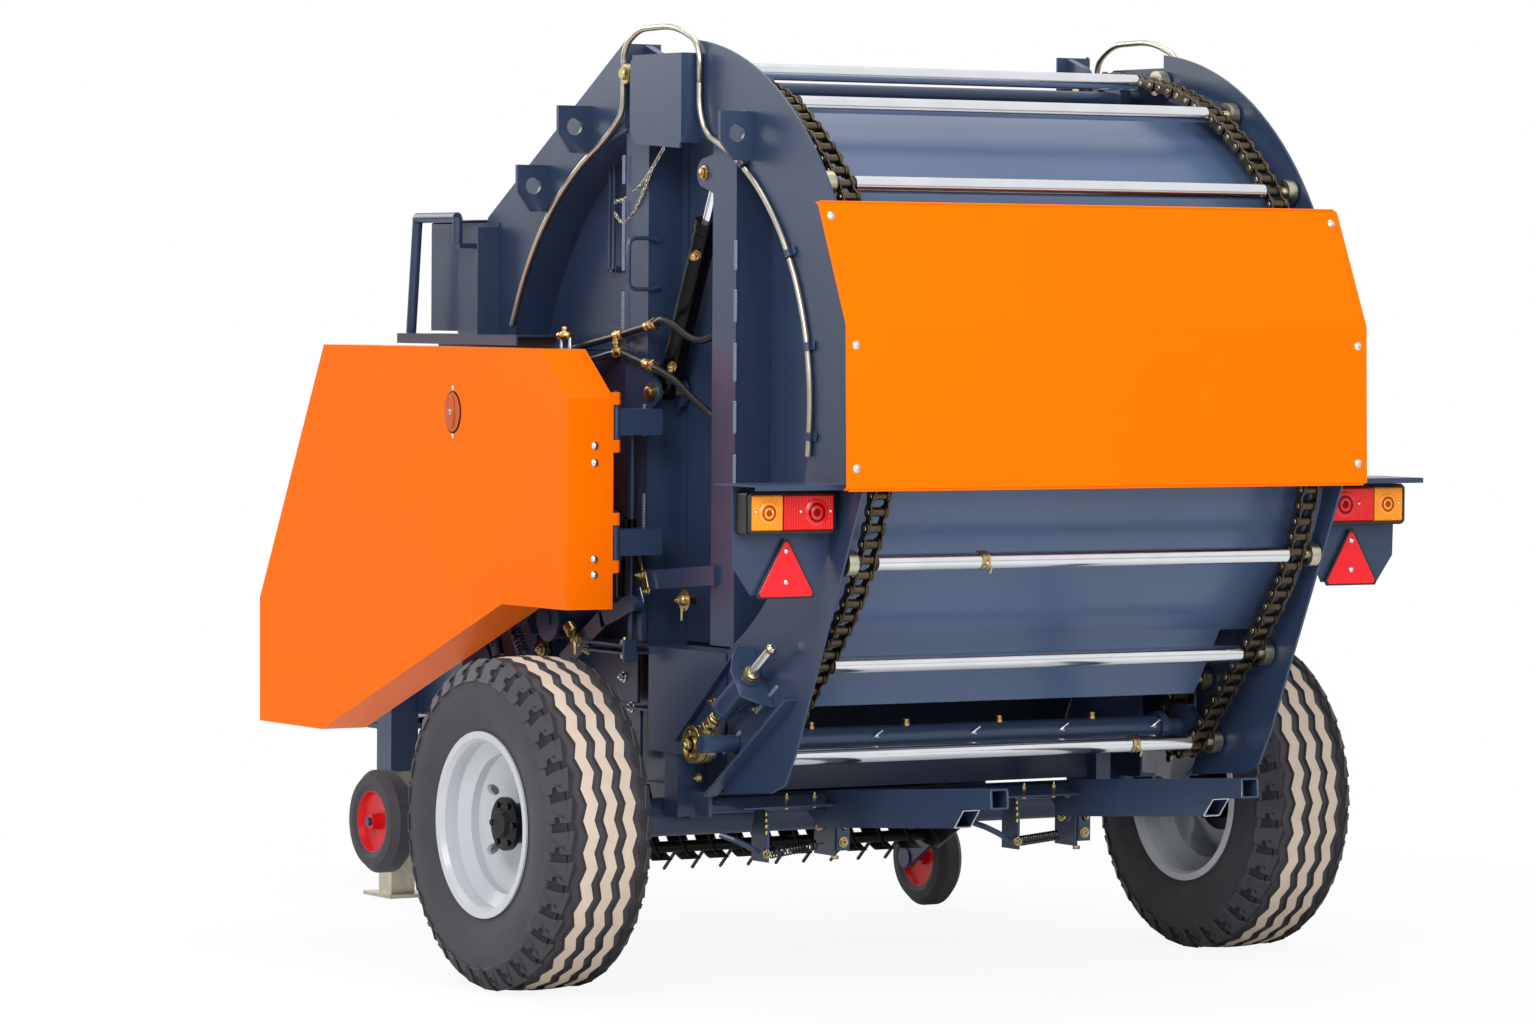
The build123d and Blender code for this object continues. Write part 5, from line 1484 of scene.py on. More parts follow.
# ------------------------------------------------------------------ hoses, fittings and cylinders
@dataclass
class Hydraulics:
    """The pressure hoses that cross to the tailgate, their brass fittings and the ball valve."""

    hose_r: float = 8.5
    # for each hose its fixed run, then its free end
    runs: dict[str, tuple[tuple[Point3, ...], tuple[Point3, ...]]] = field(default_factory=lambda: {
        "upper": (
            ((520, 560, 1436), (480, 600, 1437), (430, 650, 1441), (385, 665, 1447), (250, 666, 1468),
             (124, 666, 1487), (50, 666, 1500), (-23, 666, 1511)),
            ((-50, 668, 1518), (-78, 669, 1524), (-122, 665, 1512), (-180, 657, 1484), (-222, 648, 1479),
             (-248, 632, 1490), (-258, 600, 1503), (-258, 556, 1508)),
        ),
        "lower": (
            ((520, 560, 1400), (480, 598, 1402), (400, 645, 1410), (327, 665, 1420), (220, 666, 1435),
             (123, 666, 1448), (50, 666, 1434), (-15, 666, 1420)),
            ((-38, 667, 1415), (-62, 667, 1409), (-123, 663, 1387), (-178, 656, 1354), (-222, 650, 1329),
             (-250, 638, 1310), (-260, 604, 1300), (-260, 556, 1296)),
        ),
    })
    banjos: tuple[Point3, ...] = ((124, 666, 1487), (123, 666, 1448))
    valve: Point3 = (336.0, 690.0, 1484.0)
    studs: Point2 = (312.0, 352.0)

    def ferrule(self, draft: Draft, place: Vector, ahead: Vector, length: float) -> None:
        """A swaged ferrule with a hexagon at one end.

        Args:
            draft: where it is drawn.
            place: its middle.
            ahead: along the hose.
            length: of the sleeve, millimetres.
        """
        half, r = length / 2, self.hose_r
        draft.lathe([(r, -half), (r + 3.4, -half + 1), (r + 3.4, -half + 7), (r + 2, -half + 8),
                     (r + 3.4, -half + 10),
                     (r + 3.4, half - 8), (r + 2.2, half - 7), (r + 2.2, half - 1), (r, half)], place, ahead,
                    20)
        draft.lathe([(r + 7, half - 15), (r + 7.6, half - 14), (r + 7.6, half - 6), (r + 7, half - 5)],
                    place, ahead, 6)

    def loose_end(self, name: str, line: Sequence[Vector], side: int) -> None:
        """A hose's free end, between chassis and tailgate.

        Args:
            name: the piece's name.
            line: its middle line.
            side: left or right.
        """
        bend = Draft(name).use(HOSE)
        bend.tube(line, self.hose_r, 14)
        bend.use(BRASS).lathe([(8.6, -26), (12, -24), (12, -14), (14, -12), (14, -1), (8.6, 0)], line[-1],
                              -outward(side), 18)
        bend_over(bend.mesh(), line[0], line[-1], HOSE)

    def fittings(self, draft: Draft, side: int) -> None:
        """The cross fittings, the bleed nipple and the ball valve.

        Args:
            draft: where they are drawn.
            side: left or right.
        """
        crosses = [at(x, side * y, z) for x, y, z in self.banjos]
        for place in crosses:
            draft.lathe(mirrored([(11.5, 6), (13.5, 8), (12.5, 16), (8.6, 17)]), place, Vector((-1, 0, 0.12)),
                        18)
        draft.lathe([(6, 0), (9.5, 1), (9.5, 9), (6.5, 11), (6.5, 17), (10, 19), (10, 26), (6.5, 28),
                     (6.5, 33),
                     (9, 35), (9, 40)], crosses[-1] + outward(side) * 8 * MM, UP, 14)
        valve = at(self.valve[0], side * self.valve[1], self.valve[2])
        draft.lathe(mirrored([(14, 0), (13, 5), (10, 11), (6, 14), (6, 16), (9, 17), (9, 26), (6, 27)]),
                    valve, FORE, 20)
        draft.bolt(valve + UP * 12 * MM, UP, 11, 9)

    def make(self) -> None:
        """Build the hoses of both sides."""
        for s in SIDES:
            name, out = SIDE_NAME[s], outward(s)
            fixed, brass = Draft(f"hoses_{name}").use(HOSE), Draft(f"hose_fittings_{name}").use(BRASS)
            studs, bracket = (Draft(f"valve_studs_{name}").use(ZINC_BRIGHT),
                              Draft(f"valve_bracket_{name}").use(BLUE))
            for label, (run, free) in self.runs.items():
                line = eased_line([at(x, s * y, z) for x, y, z in run])
                fixed.tube(line, self.hose_r, 14)
                self.loose_end(f"hose_{label}_{name}",
                               eased_line([at(x, s * y, z) for x, y, z in (run[-1], *free)]), s)
                self.ferrule(brass, line[-1], (line[-1] - line[-4]).normalized(), 44)
                self.ferrule(brass, line[0] + out * 4 * MM, out, 30)
            self.fittings(brass, s)
            for x in self.studs:
                studs.route([(x, self.valve[1], 1480), (x, self.valve[1], 1424)], 4.5, 10, s)
                studs.nut(at(x, s * self.valve[1], 1424), -UP, 12, 7, 4)
            bracket.plate(((0, 0), (104, 0), (104, 58), (86, 76), (18, 76), (0, 60)), at(380, s * 556, 1440),
                          BACK, UP, 5.0 * -s, 1.0)
            bracket.box(at(326, s * 626, 1452), (90, 140, 5))
            for draft in (fixed, brass, studs, bracket):
                draft.ride("chassis")


@dataclass
class CylinderTrim:
    """Gland rings, ports and pin washers of the lift cylinders."""

    base: Point2 = (11.0, 1358.0)
    eye: Point2 = (-219.0, 1857.0)
    middle_y: float = 604.0
    tube_r: float = 27.0
    gland: float = 418.0
    foot_ring: float = 52.0
    foot_port: float = 78.0

    def barrel(self, side: int) -> None:
        """The rings and ports of one barrel.

        Args:
            side: left or right.
        """
        name, out, r = SIDE_NAME[side], outward(side), self.tube_r
        foot, head = (at(x, side * self.middle_y, z) for x, z in (self.base, self.eye))
        along = (head - foot).normalized()
        draft = Draft(f"cylinder_trim_{name}").use(BLACK)
        for t in (self.foot_ring, self.gland - 26):
            draft.lathe(collar(r - 2, r + 2.4, 9), foot + along * t * MM, along, 28)
        draft.use(BRASS)
        for t, turn in ((self.gland - 62, 0.9), (self.foot_port, 0.6)):
            place = foot + along * t * MM
            aside = (out * turn + along.cross(out) * side * 0.8).normalized()
            draft.lathe([(9, r - 4), (11, r - 2), (11, r + 5), (8, r + 6), (8, r + 9), (10.5, r + 10),
                         (10.5, r + 17), (6, r + 18)], place, aside, 6)
            draft.lathe([(6, r + 12), (6, r + 24), (7.5, r + 25), (7.5, r + 30), (4, r + 32)], place, aside,
                        14)
        draft.ride(f"cylinder_barrel_{name}")

    def make(self) -> None:
        """Build the trim of both cylinders."""
        pins, lower = Draft("cylinder_pin_washers").use(BRASS), Draft("cylinder_base_washers").use(BRASS)
        for s in SIDES:
            self.barrel(s)
            pins.lathe([(17, 0), (17, 2.4), (13, 2.8), (12, 5), (12, 9), (9, 11), (0, 11)],
                       at(self.eye[0], s * 645, self.eye[1]), outward(s), 24)
            lower.lathe([(19, 0), (19, 2.4), (12, 2.8), (12, 6), (9, 8), (0, 8)],
                        at(self.base[0], s * 652, self.base[1]), outward(s), 24)
        pins.ride("tailgate")
        lower.ride("chassis")


# ------------------------------------------------------------------ latch side
@dataclass
class Latchwork(Sided):
    """The upright latch rod, its springs and levers, the ledge clamps and the latch pin."""

    rod_x: float = 59.0
    rod_y: float = 668.0
    # heights of the upper end, the clamp and the foot
    rod_stops: Point3 = (1300.0, 1060.0, 778.0)
    # the clamp's bent wire: x from the rod, z
    hook: tuple[Point2, ...] = ((8, 1066), (30, 1068), (38, 1060), (38, 1044), (30, 1037), (8, 1039))
    # both ends of each spring as x and z
    upright_spring: tuple[Point2, Point2] = ((108.0, 1002.0), (106.0, 884.0))
    slant_springs: tuple[tuple[Point2, Point2], ...] = (((632, 808), (600, 722)), ((570, 858), (478, 729)))
    slant_y: float = 716.0
    # the arm's joints as x and z, from its foot to its eye
    lever: tuple[Point2, ...] = ((330.0, 722.0), (150.0, 830.0), (20.0, 872.0))
    lever_y: float = 690.0
    lever_hook: tuple[Point3, ...] = ((262, 702, 800), (250, 712, 786), (240, 712, 758), (240, 712, 744))
    idler: Point2 = (405.0, 745.0)
    teeth: int = 11
    # middle and size of each plate, then its bevel
    ledge_plates: tuple[tuple[Point3, Point3], ...] = (
        ((110, 682, 776), (204, 66, 6)), ((117, 682, 758), (218, 66, 6)), ((10, 700, 764), (9, 34, 52)),
    )
    recess_plates: tuple[tuple[Point3, Point3, float], ...] = (
        ((190, 596, 690), (96, 8, 116), 2.0), ((112, 590, 622), (120, 60, 6), 1.0),
        ((160, 598, 560), (70, 8, 120), 2.0),
    )
    # place, flats, height and stud of each nut
    ledge_nuts: tuple[tuple[float, ...], ...] = ((200, 700, 755, 14, 7, 4),)
    recess_nuts: tuple[tuple[float, ...], ...] = (
        (206, 600, 690, 17, 8, 5), (166, 602, 622, 17, 8, 5), (175, 602, 560, 15, 8, 4),
    )
    pin_place: Point3 = (-176.0, 664.0, 888.0)

    def rod(self) -> None:
        """The upright rod with its foot and its clamp."""
        x, y = self.rod_x, self.rod_y
        draft = Draft(f"latch_rod_{self.name}").use(BLUE)
        draft.tube([self.at(x, y, z) for z in self.rod_stops], 7.0, 14)
        draft.lathe([(7, 0), (19, 1), (19, 7), (7, 9)], self.at(x, y, 770), UP, 22)
        draft.box(self.at(x, y - 9, 774), (60, 40, 6))
        draft.use(BLACK).lathe(collar(7.2, 11.5, 13), self.at(x, y, 1052), UP, 18)
        draft.tube([self.at(x + ahead, y, z) for ahead, z in self.hook], 3.2, 8)
        draft.ride("chassis")

    def springs(self) -> None:
        """The small spring at the rod and the slanted springs under the cover."""
        y = self.rod_y
        draft = Draft(f"latch_springs_{self.name}").use(SPRING)
        top, low = (self.at(x, y, z) for x, z in self.upright_spring)
        draft.helix(top, low, 9.5, 1.9, 24)
        draft.tube([top, self.at(102, y, 1016), self.at(self.rod_x + 38, y, 1040)], 2.0, 6)
        draft.tube([low, self.at(106, y, 866), self.at(100, y, 838)], 2.0, 6)
        for ends in self.slant_springs:
            a, b = (self.at(x, self.slant_y, z) for x, z in ends)
            draft.helix(a, b, 13.0, 2.6, 17)
            draft.tube([a + (a - b).normalized() * 26 * MM, a], 2.6, 6)
            draft.tube([b, b + (b - a).normalized() * 20 * MM], 2.6, 6)
        draft.ride("chassis")

    def golden_lever(self) -> None:
        """The golden lever at the rod, with its nuts and its pin."""
        y = self.rod_y
        draft = Draft(f"latch_levers_{self.name}").use(ZINC)
        draft.tube([self.at(41, y, 1021), self.at(24, y, 980), self.at(8, y, 944)], 4.0, 10)
        draft.plate(((-9, -40), (9, -40), (12, 0), (8, 12), (-8, 12), (-12, 0)), self.at(-6, y + 3, 938),
                    Vector((-0.9, 0, 0.43)) * self.side, Vector((0.43, 0, 0.9)), 4.0, 0.8)
        reach = self.rod_y + 7
        draft.nuts(((4, reach, 938, 15, 8, 4.5), (-30, reach, 902, 13, 7, 4)), self.out, self.side)
        draft.use(ZINC_BRIGHT).tube([self.at(8, y + 6, 908), self.at(-8, y + 6, 876)], 2.2, 8)
        draft.ride("chassis")

    def arm(self) -> None:
        """The slanted lever arm with its eye, and its clamp bolt and hook."""
        out = self.out
        bar, bolts = Draft(f"lever_arm_{self.name}").use(BLUE), Draft(f"lever_bolts_{self.name}").use(ZINC)
        for (x0, z0), (x1, z1), high in zip(self.lever, self.lever[1:], (46, 40)):
            ahead = Vector((x1 - x0, 0, z1 - z0))
            bar.box(at((x0 + x1) / 2, self.side * self.lever_y, (z0 + z1) / 2), (ahead.length + 16, high, 9),
                    ahead.normalized() * self.side, ahead.normalized().cross(ACROSS) * -1, 1.2)
        eye_x, eye_z = self.lever[-1]
        bar.lathe([(8, 0), (17, 1), (17, 26), (8, 27)], self.at(eye_x, 664, eye_z), out, 20)
        bar.ride("chassis")
        bolts.nut(self.at(256, 695, 776), out, 22, 11, 6)
        bolts.route(self.lever_hook, 4.0, 10, self.side)
        bolts.lathe(collar(14, 16, 14, 2), self.at(275, 703, 800), Vector((0.8, 0, 0.6)), 14)
        bolts.ride("chassis")

    def sprocket(self) -> None:
        """The small idler sprocket with its nut."""
        draft = Draft(f"idler_sprocket_{self.name}").use(BLACK)
        outline = []
        for k in range(2 * self.teeth):
            r, half = (42.0, 0.035) if k % 2 else (33.0, 0.07)
            for shift in (-half, half):
                a = math.tau * k / (2 * self.teeth) + shift
                outline.append((r * math.cos(a), r * math.sin(a)))
        x, z = self.idler
        draft.plate(outline, self.at(x, 700, z), FORE, UP, -8.0 * self.side, 1.0)
        draft.use(ZINC).nut(self.at(x, 708, z), self.out, 20, 9, 5)
        draft.ride("chassis")

    def ledge(self) -> None:
        """The ledge clamp and the bolts on the recess under it."""
        plate, bolts = (Draft(f"ledge_clamp_{self.name}").use(BLUE),
                        Draft(f"ledge_bolts_{self.name}").use(ZINC))
        for (x, y, z), size, bevel in (*((*row, 1.0) for row in self.ledge_plates), *self.recess_plates):
            plate.box(self.at(x, y, z), size, bevel=bevel)
        plate.ride("chassis")
        bolts.nut(self.at(32, 700, 779), UP, 17, 8, 5)
        bolts.bolt(self.at(32, 700, 755), -UP, 17, 10)
        bolts.nuts(self.ledge_nuts, self.out, self.side)
        bolts.use(ZINC_BRIGHT).nuts(self.recess_nuts, self.out, self.side)
        bolts.ride("chassis")

    def pin(self) -> None:
        """The golden latch pin with its split pin, on the tailgate."""
        out, (x, y, z) = self.out, self.pin_place
        place = self.at(x, y, z)
        gold = Draft(f"latch_pin_{self.name}").use(ZINC)
        gold.lathe([(13, -24), (13, -2), (25, -1.5), (25, 2), (13, 2.6), (13, 10), (11, 12), (0, 12)], place,
                   out, 28)
        gold.nut(place + out * 12 * MM, out, 14, 6, 4)
        gold.tube([place + Vector((3, 0, drop)) * MM + out * 6 * MM for drop in (-18, -46)], 3.0, 8)
        gold.ride("tailgate")

    def make(self) -> None:
        """Build the latchwork of one side."""
        for draw in (self.rod, self.springs, self.golden_lever, self.arm, self.sprocket, self.ledge,
                     self.pin):
            draw()


# ------------------------------------------------------------------ chain tensioners
@dataclass
class Tensioner:
    """The spring-loaded chain tensioners on the tailgate's wings."""

    rod_foot: Point3 = (-503.0, 690.0, 735.0)
    # along the rod, outwards, and across it in the side's plane
    axis: Vector = field(default_factory=lambda: Vector((-0.8192, 0.0, 0.5736)))
    rise: Vector = field(default_factory=lambda: Vector((0.5736, 0.0, 0.8192)))
    corner: tuple[Point2, ...] = ((-40, -82), (36, -47), (39, 20), (20, 62), (-4, 78), (-40, 78))
    web: tuple[Point2, ...] = ((-40, -4), (-40, -96), (-2, -96), (-2, -20))
    edge: tuple[Point3, Point3] = ((-409, 657, 794), (-131, 657, 564))
    # place along the rod, radius and height
    thread_nuts: tuple[Point3, ...] = ((-163, 15.5, 11), (-184, 13, 8), (-200, 15.5, 12), (-224, 17, 14))
    hub: Point3 = (-256.0, 650.0, 566.0)
    hub_r: float = 43.0
    wing_nuts: tuple[Point2, ...] = ((-463, 658), (-342, 579), (-223, 487), (-281, 664))
    hem: tuple[Point3, Point3] = ((-296, 666, 452), (-640, 666, 690))

    def barrel(self, draft: Draft, foot: Vector, side: int) -> None:
        """The spring barrel with its corner plate, web and upper hem.

        Args:
            draft: where it is drawn.
            foot: where the rod leaves the corner plate.
            side: left or right.
        """
        out, axis, rise = outward(side), self.axis, self.rise
        draft.plate([(x * side, y) for x, y in self.corner], foot - axis * 5 * MM, ACROSS, rise, 6.0 * side,
                    1.0)
        draft.lathe([(24, -142), (27, -141), (27, -131), (24.5, -130), (24.5, -4), (24.5, 0)], foot, axis, 28)
        draft.use(CHROME).lathe([(20, -149), (23.5, -148), (23.5, -142), (20, -141)], foot, axis, 28)
        draft.use(BLUE).plate([(x * side, y) for x, y in self.web], foot - rise * 24 * MM, ACROSS, axis,
                              5.0 * side, 1.0)
        draft.box(foot - axis * 70 * MM - out * 34 * MM, (130, 30, 12), axis, rise, 2)
        start, end = (at(x, side * y, z) for x, y, z in self.edge)
        ahead = end - start
        draft.box((start + end) / 2, (ahead.length / MM, 4, 15), ahead.normalized(),
                  ACROSS.cross(ahead).normalized(),
                  0.8)

    def thread(self, draft: Draft, foot: Vector) -> None:
        """The golden rod's collars, thread and nuts.

        Args:
            draft: where they are drawn.
            foot: where the rod leaves the corner plate.
        """
        axis = self.axis
        draft.lathe([(12, 0), (18, 1), (18, 7), (15, 8), (15, 11), (18, 12), (18, 18), (14, 20), (12, 20)],
                    foot, axis, 22)
        draft.lathe([(12.2, 108), (12.8, 109), (12.8, 118), (10, 121), (9.1, 121)], foot, axis, 22)
        draft.lathe([(7.5, -236), (7.5, -148)], foot, axis, 14)
        for t, r, high in self.thread_nuts:
            draft.lathe([(r - 1, 0), (r, 1), (r, high - 1), (r - 1, high)], foot + axis * t * MM, axis, 6)
        draft.helix(foot - axis * 163 * MM, foot - axis * 184 * MM, 12, 2, 2.5)

    def wheel(self, draft: Draft, side: int) -> None:
        """The golden hub with its bolts, and the wing's nuts.

        Args:
            draft: where they are drawn.
            side: left or right.
        """
        out, r = outward(side), self.hub_r
        hub = at(self.hub[0], side * self.hub[1], self.hub[2])
        draft.lathe([(r - 4, 0), (r, 2), (r, 22), (r - 3, 24), (r - 3, 27), (r, 29), (r, 42), (r - 2, 44),
                     (r - 9, 44), (r - 9, 40), (18, 40), (18, 46), (0, 46)], hub, out, 40)
        draft.box(hub + self.axis * 50 * MM + out * 32 * MM, (46, 26, 22), self.axis, self.rise, 3)
        draft.nut(hub + out * 44 * MM, out, 24, 11, 7)
        for t in (-1, 1):
            draft.bolt(hub + out * 40 * MM + UP * 25 * t * MM, out, 13, 9)
        draft.nuts([(x, self.hub[1], z, 14, 7, 4) for x, z in self.wing_nuts], out, side)

    def make(self) -> None:
        """Build both tensioners."""
        blue, gold = Draft("tensioner_barrels").use(BLUE), Draft("tensioner_gold").use(ZINC)
        chrome, hems = Draft("tensioner_rods").use(CHROME), Draft("wing_hems").use(BLUE)
        for s in SIDES:
            foot = at(self.rod_foot[0], s * self.rod_foot[1], self.rod_foot[2])
            self.barrel(blue, foot, s)
            chrome.lathe([(12, 0), (12, 112), (9, 114), (9, 121), (7, 123), (0, 123)], foot, self.axis, 24)
            self.thread(gold, foot)
            self.wheel(gold, s)
            low, high = (at(x, s * y, z) for x, y, z in self.hem)
            run = high - low
            hems.box((low + high) / 2, (run.length / MM, 5, 34), run.normalized(),
                     outward(s).cross(run).normalized(), 1.0)
            hems.tube([end + outward(s) * 15 * MM for end in (low, high)], 3.2, 8)
        blue.ride("tailgate", "chain_tensioners")
        gold.ride("tailgate")
        chrome.ride("tailgate")
        hems.ride("tailgate", "wing_flanges")


# ------------------------------------------------------------------ ramp, lower tube, sill, conduit
@dataclass
class RampTrim:
    """Return springs, their brackets, the plate bolts and the cut rail ends of the bale ramp."""

    # y and z of each spring's left and right end
    pairs: tuple[tuple[float, float, float, float], ...] = ((468, 307, 341, 323), (-220, 308, -330, 318))
    spring_x: float = -232.0
    bolt_places: tuple[float, ...] = (423, 348, 285, -231, -315, -377)
    rail_y: float = 338.0
    # lower and upper corner of each cut end, as x and z
    rail_ends: tuple[tuple[Point2, Point2], ...] = (((-980.2, 463), (-977.2, 503)),
                                                    ((-868.5, 450), (-833.5, 410)))
    rail_wide: float = 46.0
    rail_wall: float = 6.5

    def spring(self, draft: Draft, a: Vector, b: Vector) -> None:
        """One return spring with its hooks.

        Args:
            draft: where it is drawn.
            a: its left end.
            b: its right end.
        """
        draft.helix(a, b, 10.5, 2.0, 17)
        draft.tube([a, a + Vector((0, 18, -3)) * MM], 2.2, 6)
        draft.tube([b, b + Vector((0, -18, 3)) * MM], 2.2, 6)

    def brackets(self, draft: Draft, left: Point2, right: Point2) -> None:
        """The plates and rods that hold one spring.

        Args:
            draft: where they are drawn.
            left: y and z of the left plate.
            right: y and z of the right plate.
        """
        x, (y0, z0), (y1, z1) = self.spring_x, left, right
        draft.plate(((-34, 0), (34, 0), (34, 70), (20, 120), (-12, 120), (-34, 92)), at(x + 16, y0, z0 - 18),
                    FORE, UP, 7.0, 1.0)
        draft.plate(((-42, -14), (44, -14), (44, 96), (-42, 96)), at(x + 20, y1, z1 - 12), FORE, UP, 8.0, 1.0)
        draft.plate(((0, 0), (34, 0), (34, 78), (22, 100), (6, 100), (0, 70)), at(x - 22, y1 - 6, z1 - 14),
                    -ACROSS, UP, 6.0, 1.0)
        draft.route([(x - 12, y1 + 12, z1 + 66), (x - 12, y1 + 12, z1 + 34)], 8, 12)
        draft.route([(x + 6, y0 + 8, z0 + 4), (x + 2, y0 + 44, z0 + 22), (x + 6, y0 + 74, z0 + 36),
                     (x + 30, y0 + 96, z0 + 46)], 7)

    def bracket_bolts(self, draft: Draft, left: Point2, right: Point2) -> None:
        """The nuts and studs on one spring's plates.

        Args:
            draft: where they are drawn.
            left: y and z of the left plate.
            right: y and z of the right plate.
        """
        x, (y0, z0), (y1, z1) = self.spring_x, left, right
        draft.nuts(((x - 29, y1 - 22, z1 + 6, 17, 7, 4), (x - 22, y0 + 3, z0 + 2, 14, 7, 4),
                    (x - 22, y1 + 40, z1 + 44, 13, 7, 4), (x - 26, y1 - 24, z1 + 42, 13, 7, 4)), BACK)
        draft.bolt(at(x - 16, y1 - 8, z1 - 26), -UP, 15, 8)
        for k in range(4):
            draft.lathe([(2.6, 0), (4.4, 2), (4.4, 9), (2.6, 11)], at(x - 20, y0 + 4, z0 + 46 + k * 14), UP,
                        8)

    def cut_end(self, draft: Draft, y: float, low: Point2, high: Point2) -> None:
        """The bare cut face of one rail.

        Args:
            draft: where it is drawn.
            y: the rail's middle across.
            low: x and z of its lower corner.
            high: x and z of its upper corner.
        """
        start, end = at(low[0], y, low[1]), at(high[0], y, high[1])
        middle, rise = (start + end) / 2, end - start
        wide, tall = self.rail_wide, rise.length / MM + 4
        outer, inner = rounded(wide, tall, 5), rounded(wide - self.rail_wall, tall - self.rail_wall, 3)
        u, v = -ACROSS, rise.normalized()
        w = u.cross(v)
        draft.loft([[middle + (u * p + v * q + w * d) * MM for p, q in line]
                    for line, d in ((outer, -1.0), (outer, 1.2), (inner, 1.2), (inner, -1.0))], caps=False,
                   loop=True)

    def make(self) -> None:
        """Build the ramp's trim."""
        springs, plates = Draft("ramp_springs").use(SPRING), Draft("ramp_brackets").use(BLUE)
        bolts, ends = Draft("ramp_bolts").use(ZINC), Draft("rail_cut_ends").use(ZINC_BRIGHT)
        for y0, z0, y1, z1 in self.pairs:
            self.spring(springs, at(self.spring_x, y0, z0), at(self.spring_x, y1, z1))
            left, right = (y0 + 18, z0), (y1 - 32, z1)
            self.brackets(plates, left, right)
            self.bracket_bolts(bolts, left, right)
        for y in self.bolt_places:
            bolts.nut(at(self.spring_x, y, 431), UP, 12, 5, 3)
            bolts.bolt(at(self.spring_x, y, 412), -UP, 12, 5)
        for y in (self.rail_y, -self.rail_y):
            for low, high in self.rail_ends:
                self.cut_end(ends, y, low, high)
        for draft in (springs, plates, bolts, ends):
            draft.ride("bale_ramp")


@dataclass
class LowerTubeTrim:
    """Grease studs, split pins and ring clips on the lower tube and the slats."""

    centre: Point2 = (-380.0, 576.0)
    radius: float = 28.0
    stud_places: tuple[float, ...] = (454, 198, -57, -317)
    pin_places: tuple[float, ...] = (300, 35, -210, -470)
    clip_places: tuple[Point3, ...] = ((-808, 275, 999), (-435, -397, 545))

    def make(self) -> None:
        """Build the trim of the lower tube."""
        studs, pins = Draft("tube_studs").use(BRASS), Draft("split_pins").use(ZINC_BRIGHT)
        clips = Draft("slat_clips").use(ZINC)
        for y in self.stud_places:
            studs.lathe([(9, -2), (9, 5), (7, 6), (7, 9), (8, 10), (8, 13), (5, 15), (0, 15)],
                        at(self.centre[0] - 4, y, self.centre[1] + self.radius), UP, 14)
        for y in self.pin_places:
            place = at(self.centre[0] - self.radius + 3, y, self.centre[1] + 4)
            tip = place + Vector((-16, -16, 18)) * MM
            pins.tube([place, place.lerp(tip, 0.5), tip], 3.6, 8)
            pins.tube([place + Vector((0, 6, -5)) * MM, place, place + Vector((-7, -12, 0)) * MM], 2.0, 6)
        for x, y, z in self.clip_places:
            clips.lathe(mirrored([(19.6, 2), (21.5, 3), (21.5, 10), (19.2, 11)]), at(x, y, z), ACROSS, 28,
                        loop=True)
            clips.route([(x - 20, y, z - 4), (x - 30, y - 6, z - 16), (x - 26, y - 4, z - 28)], 3, 8)
        for draft in (studs, pins, clips):
            draft.ride("tailgate")


@dataclass
class Sill:
    """The folded sheet that closes the chamber's floor between the side plates."""

    half: float = 546.0
    middle: float = 180.0
    fold: tuple[Point2, ...] = ((26, 636), (30, 636), (66, 560), (96, 470), (120, 448))

    def make(self) -> None:
        """Build the sill."""
        # The sill takes the darker blue, which is painted shade.
        draft = Draft("chamber_sill").use(BLUE_PAINTED_SHADE)
        line = [*self.fold, *((x + 4, z - 3) for x, z in reversed(self.fold))]
        draft.loft([[at(x, y, z) for x, z in line] for y in (-self.half, -self.middle, self.middle,
                                                             self.half)])
        draft.ride("chassis")


@dataclass
class ConduitBend:
    """The lamp leads' loop over the tailgate's hinge, between chassis and tailgate."""

    node: bpy.types.Object
    reach: Point2 = (100.0, -190.0)
    height: float = 2150.0

    def make(self) -> None:
        """Build the loop in the stiff one's place."""
        draft = bmesh.new()
        draft.from_mesh(self.node.data)
        draft.transform(self.node.matrix_world)
        bmesh.ops.remove_doubles(draft, verts=draft.verts, dist=1e-5)
        bmesh.ops.recalc_face_normals(draft, faces=draft.faces)
        mesh = bpy.data.meshes.new("conduit_bend")
        draft.to_mesh(mesh)
        draft.free()
        mesh.materials.clear()
        mesh.materials.append(SHEATH.material())
        mesh.polygons.foreach_set("material_index", [0] * len(mesh.polygons))
        mesh.shade_smooth()
        first, last = (at(x, 0, self.height) for x in self.reach)
        bend_over(mesh, first, last, SHEATH, "conduit_loop")


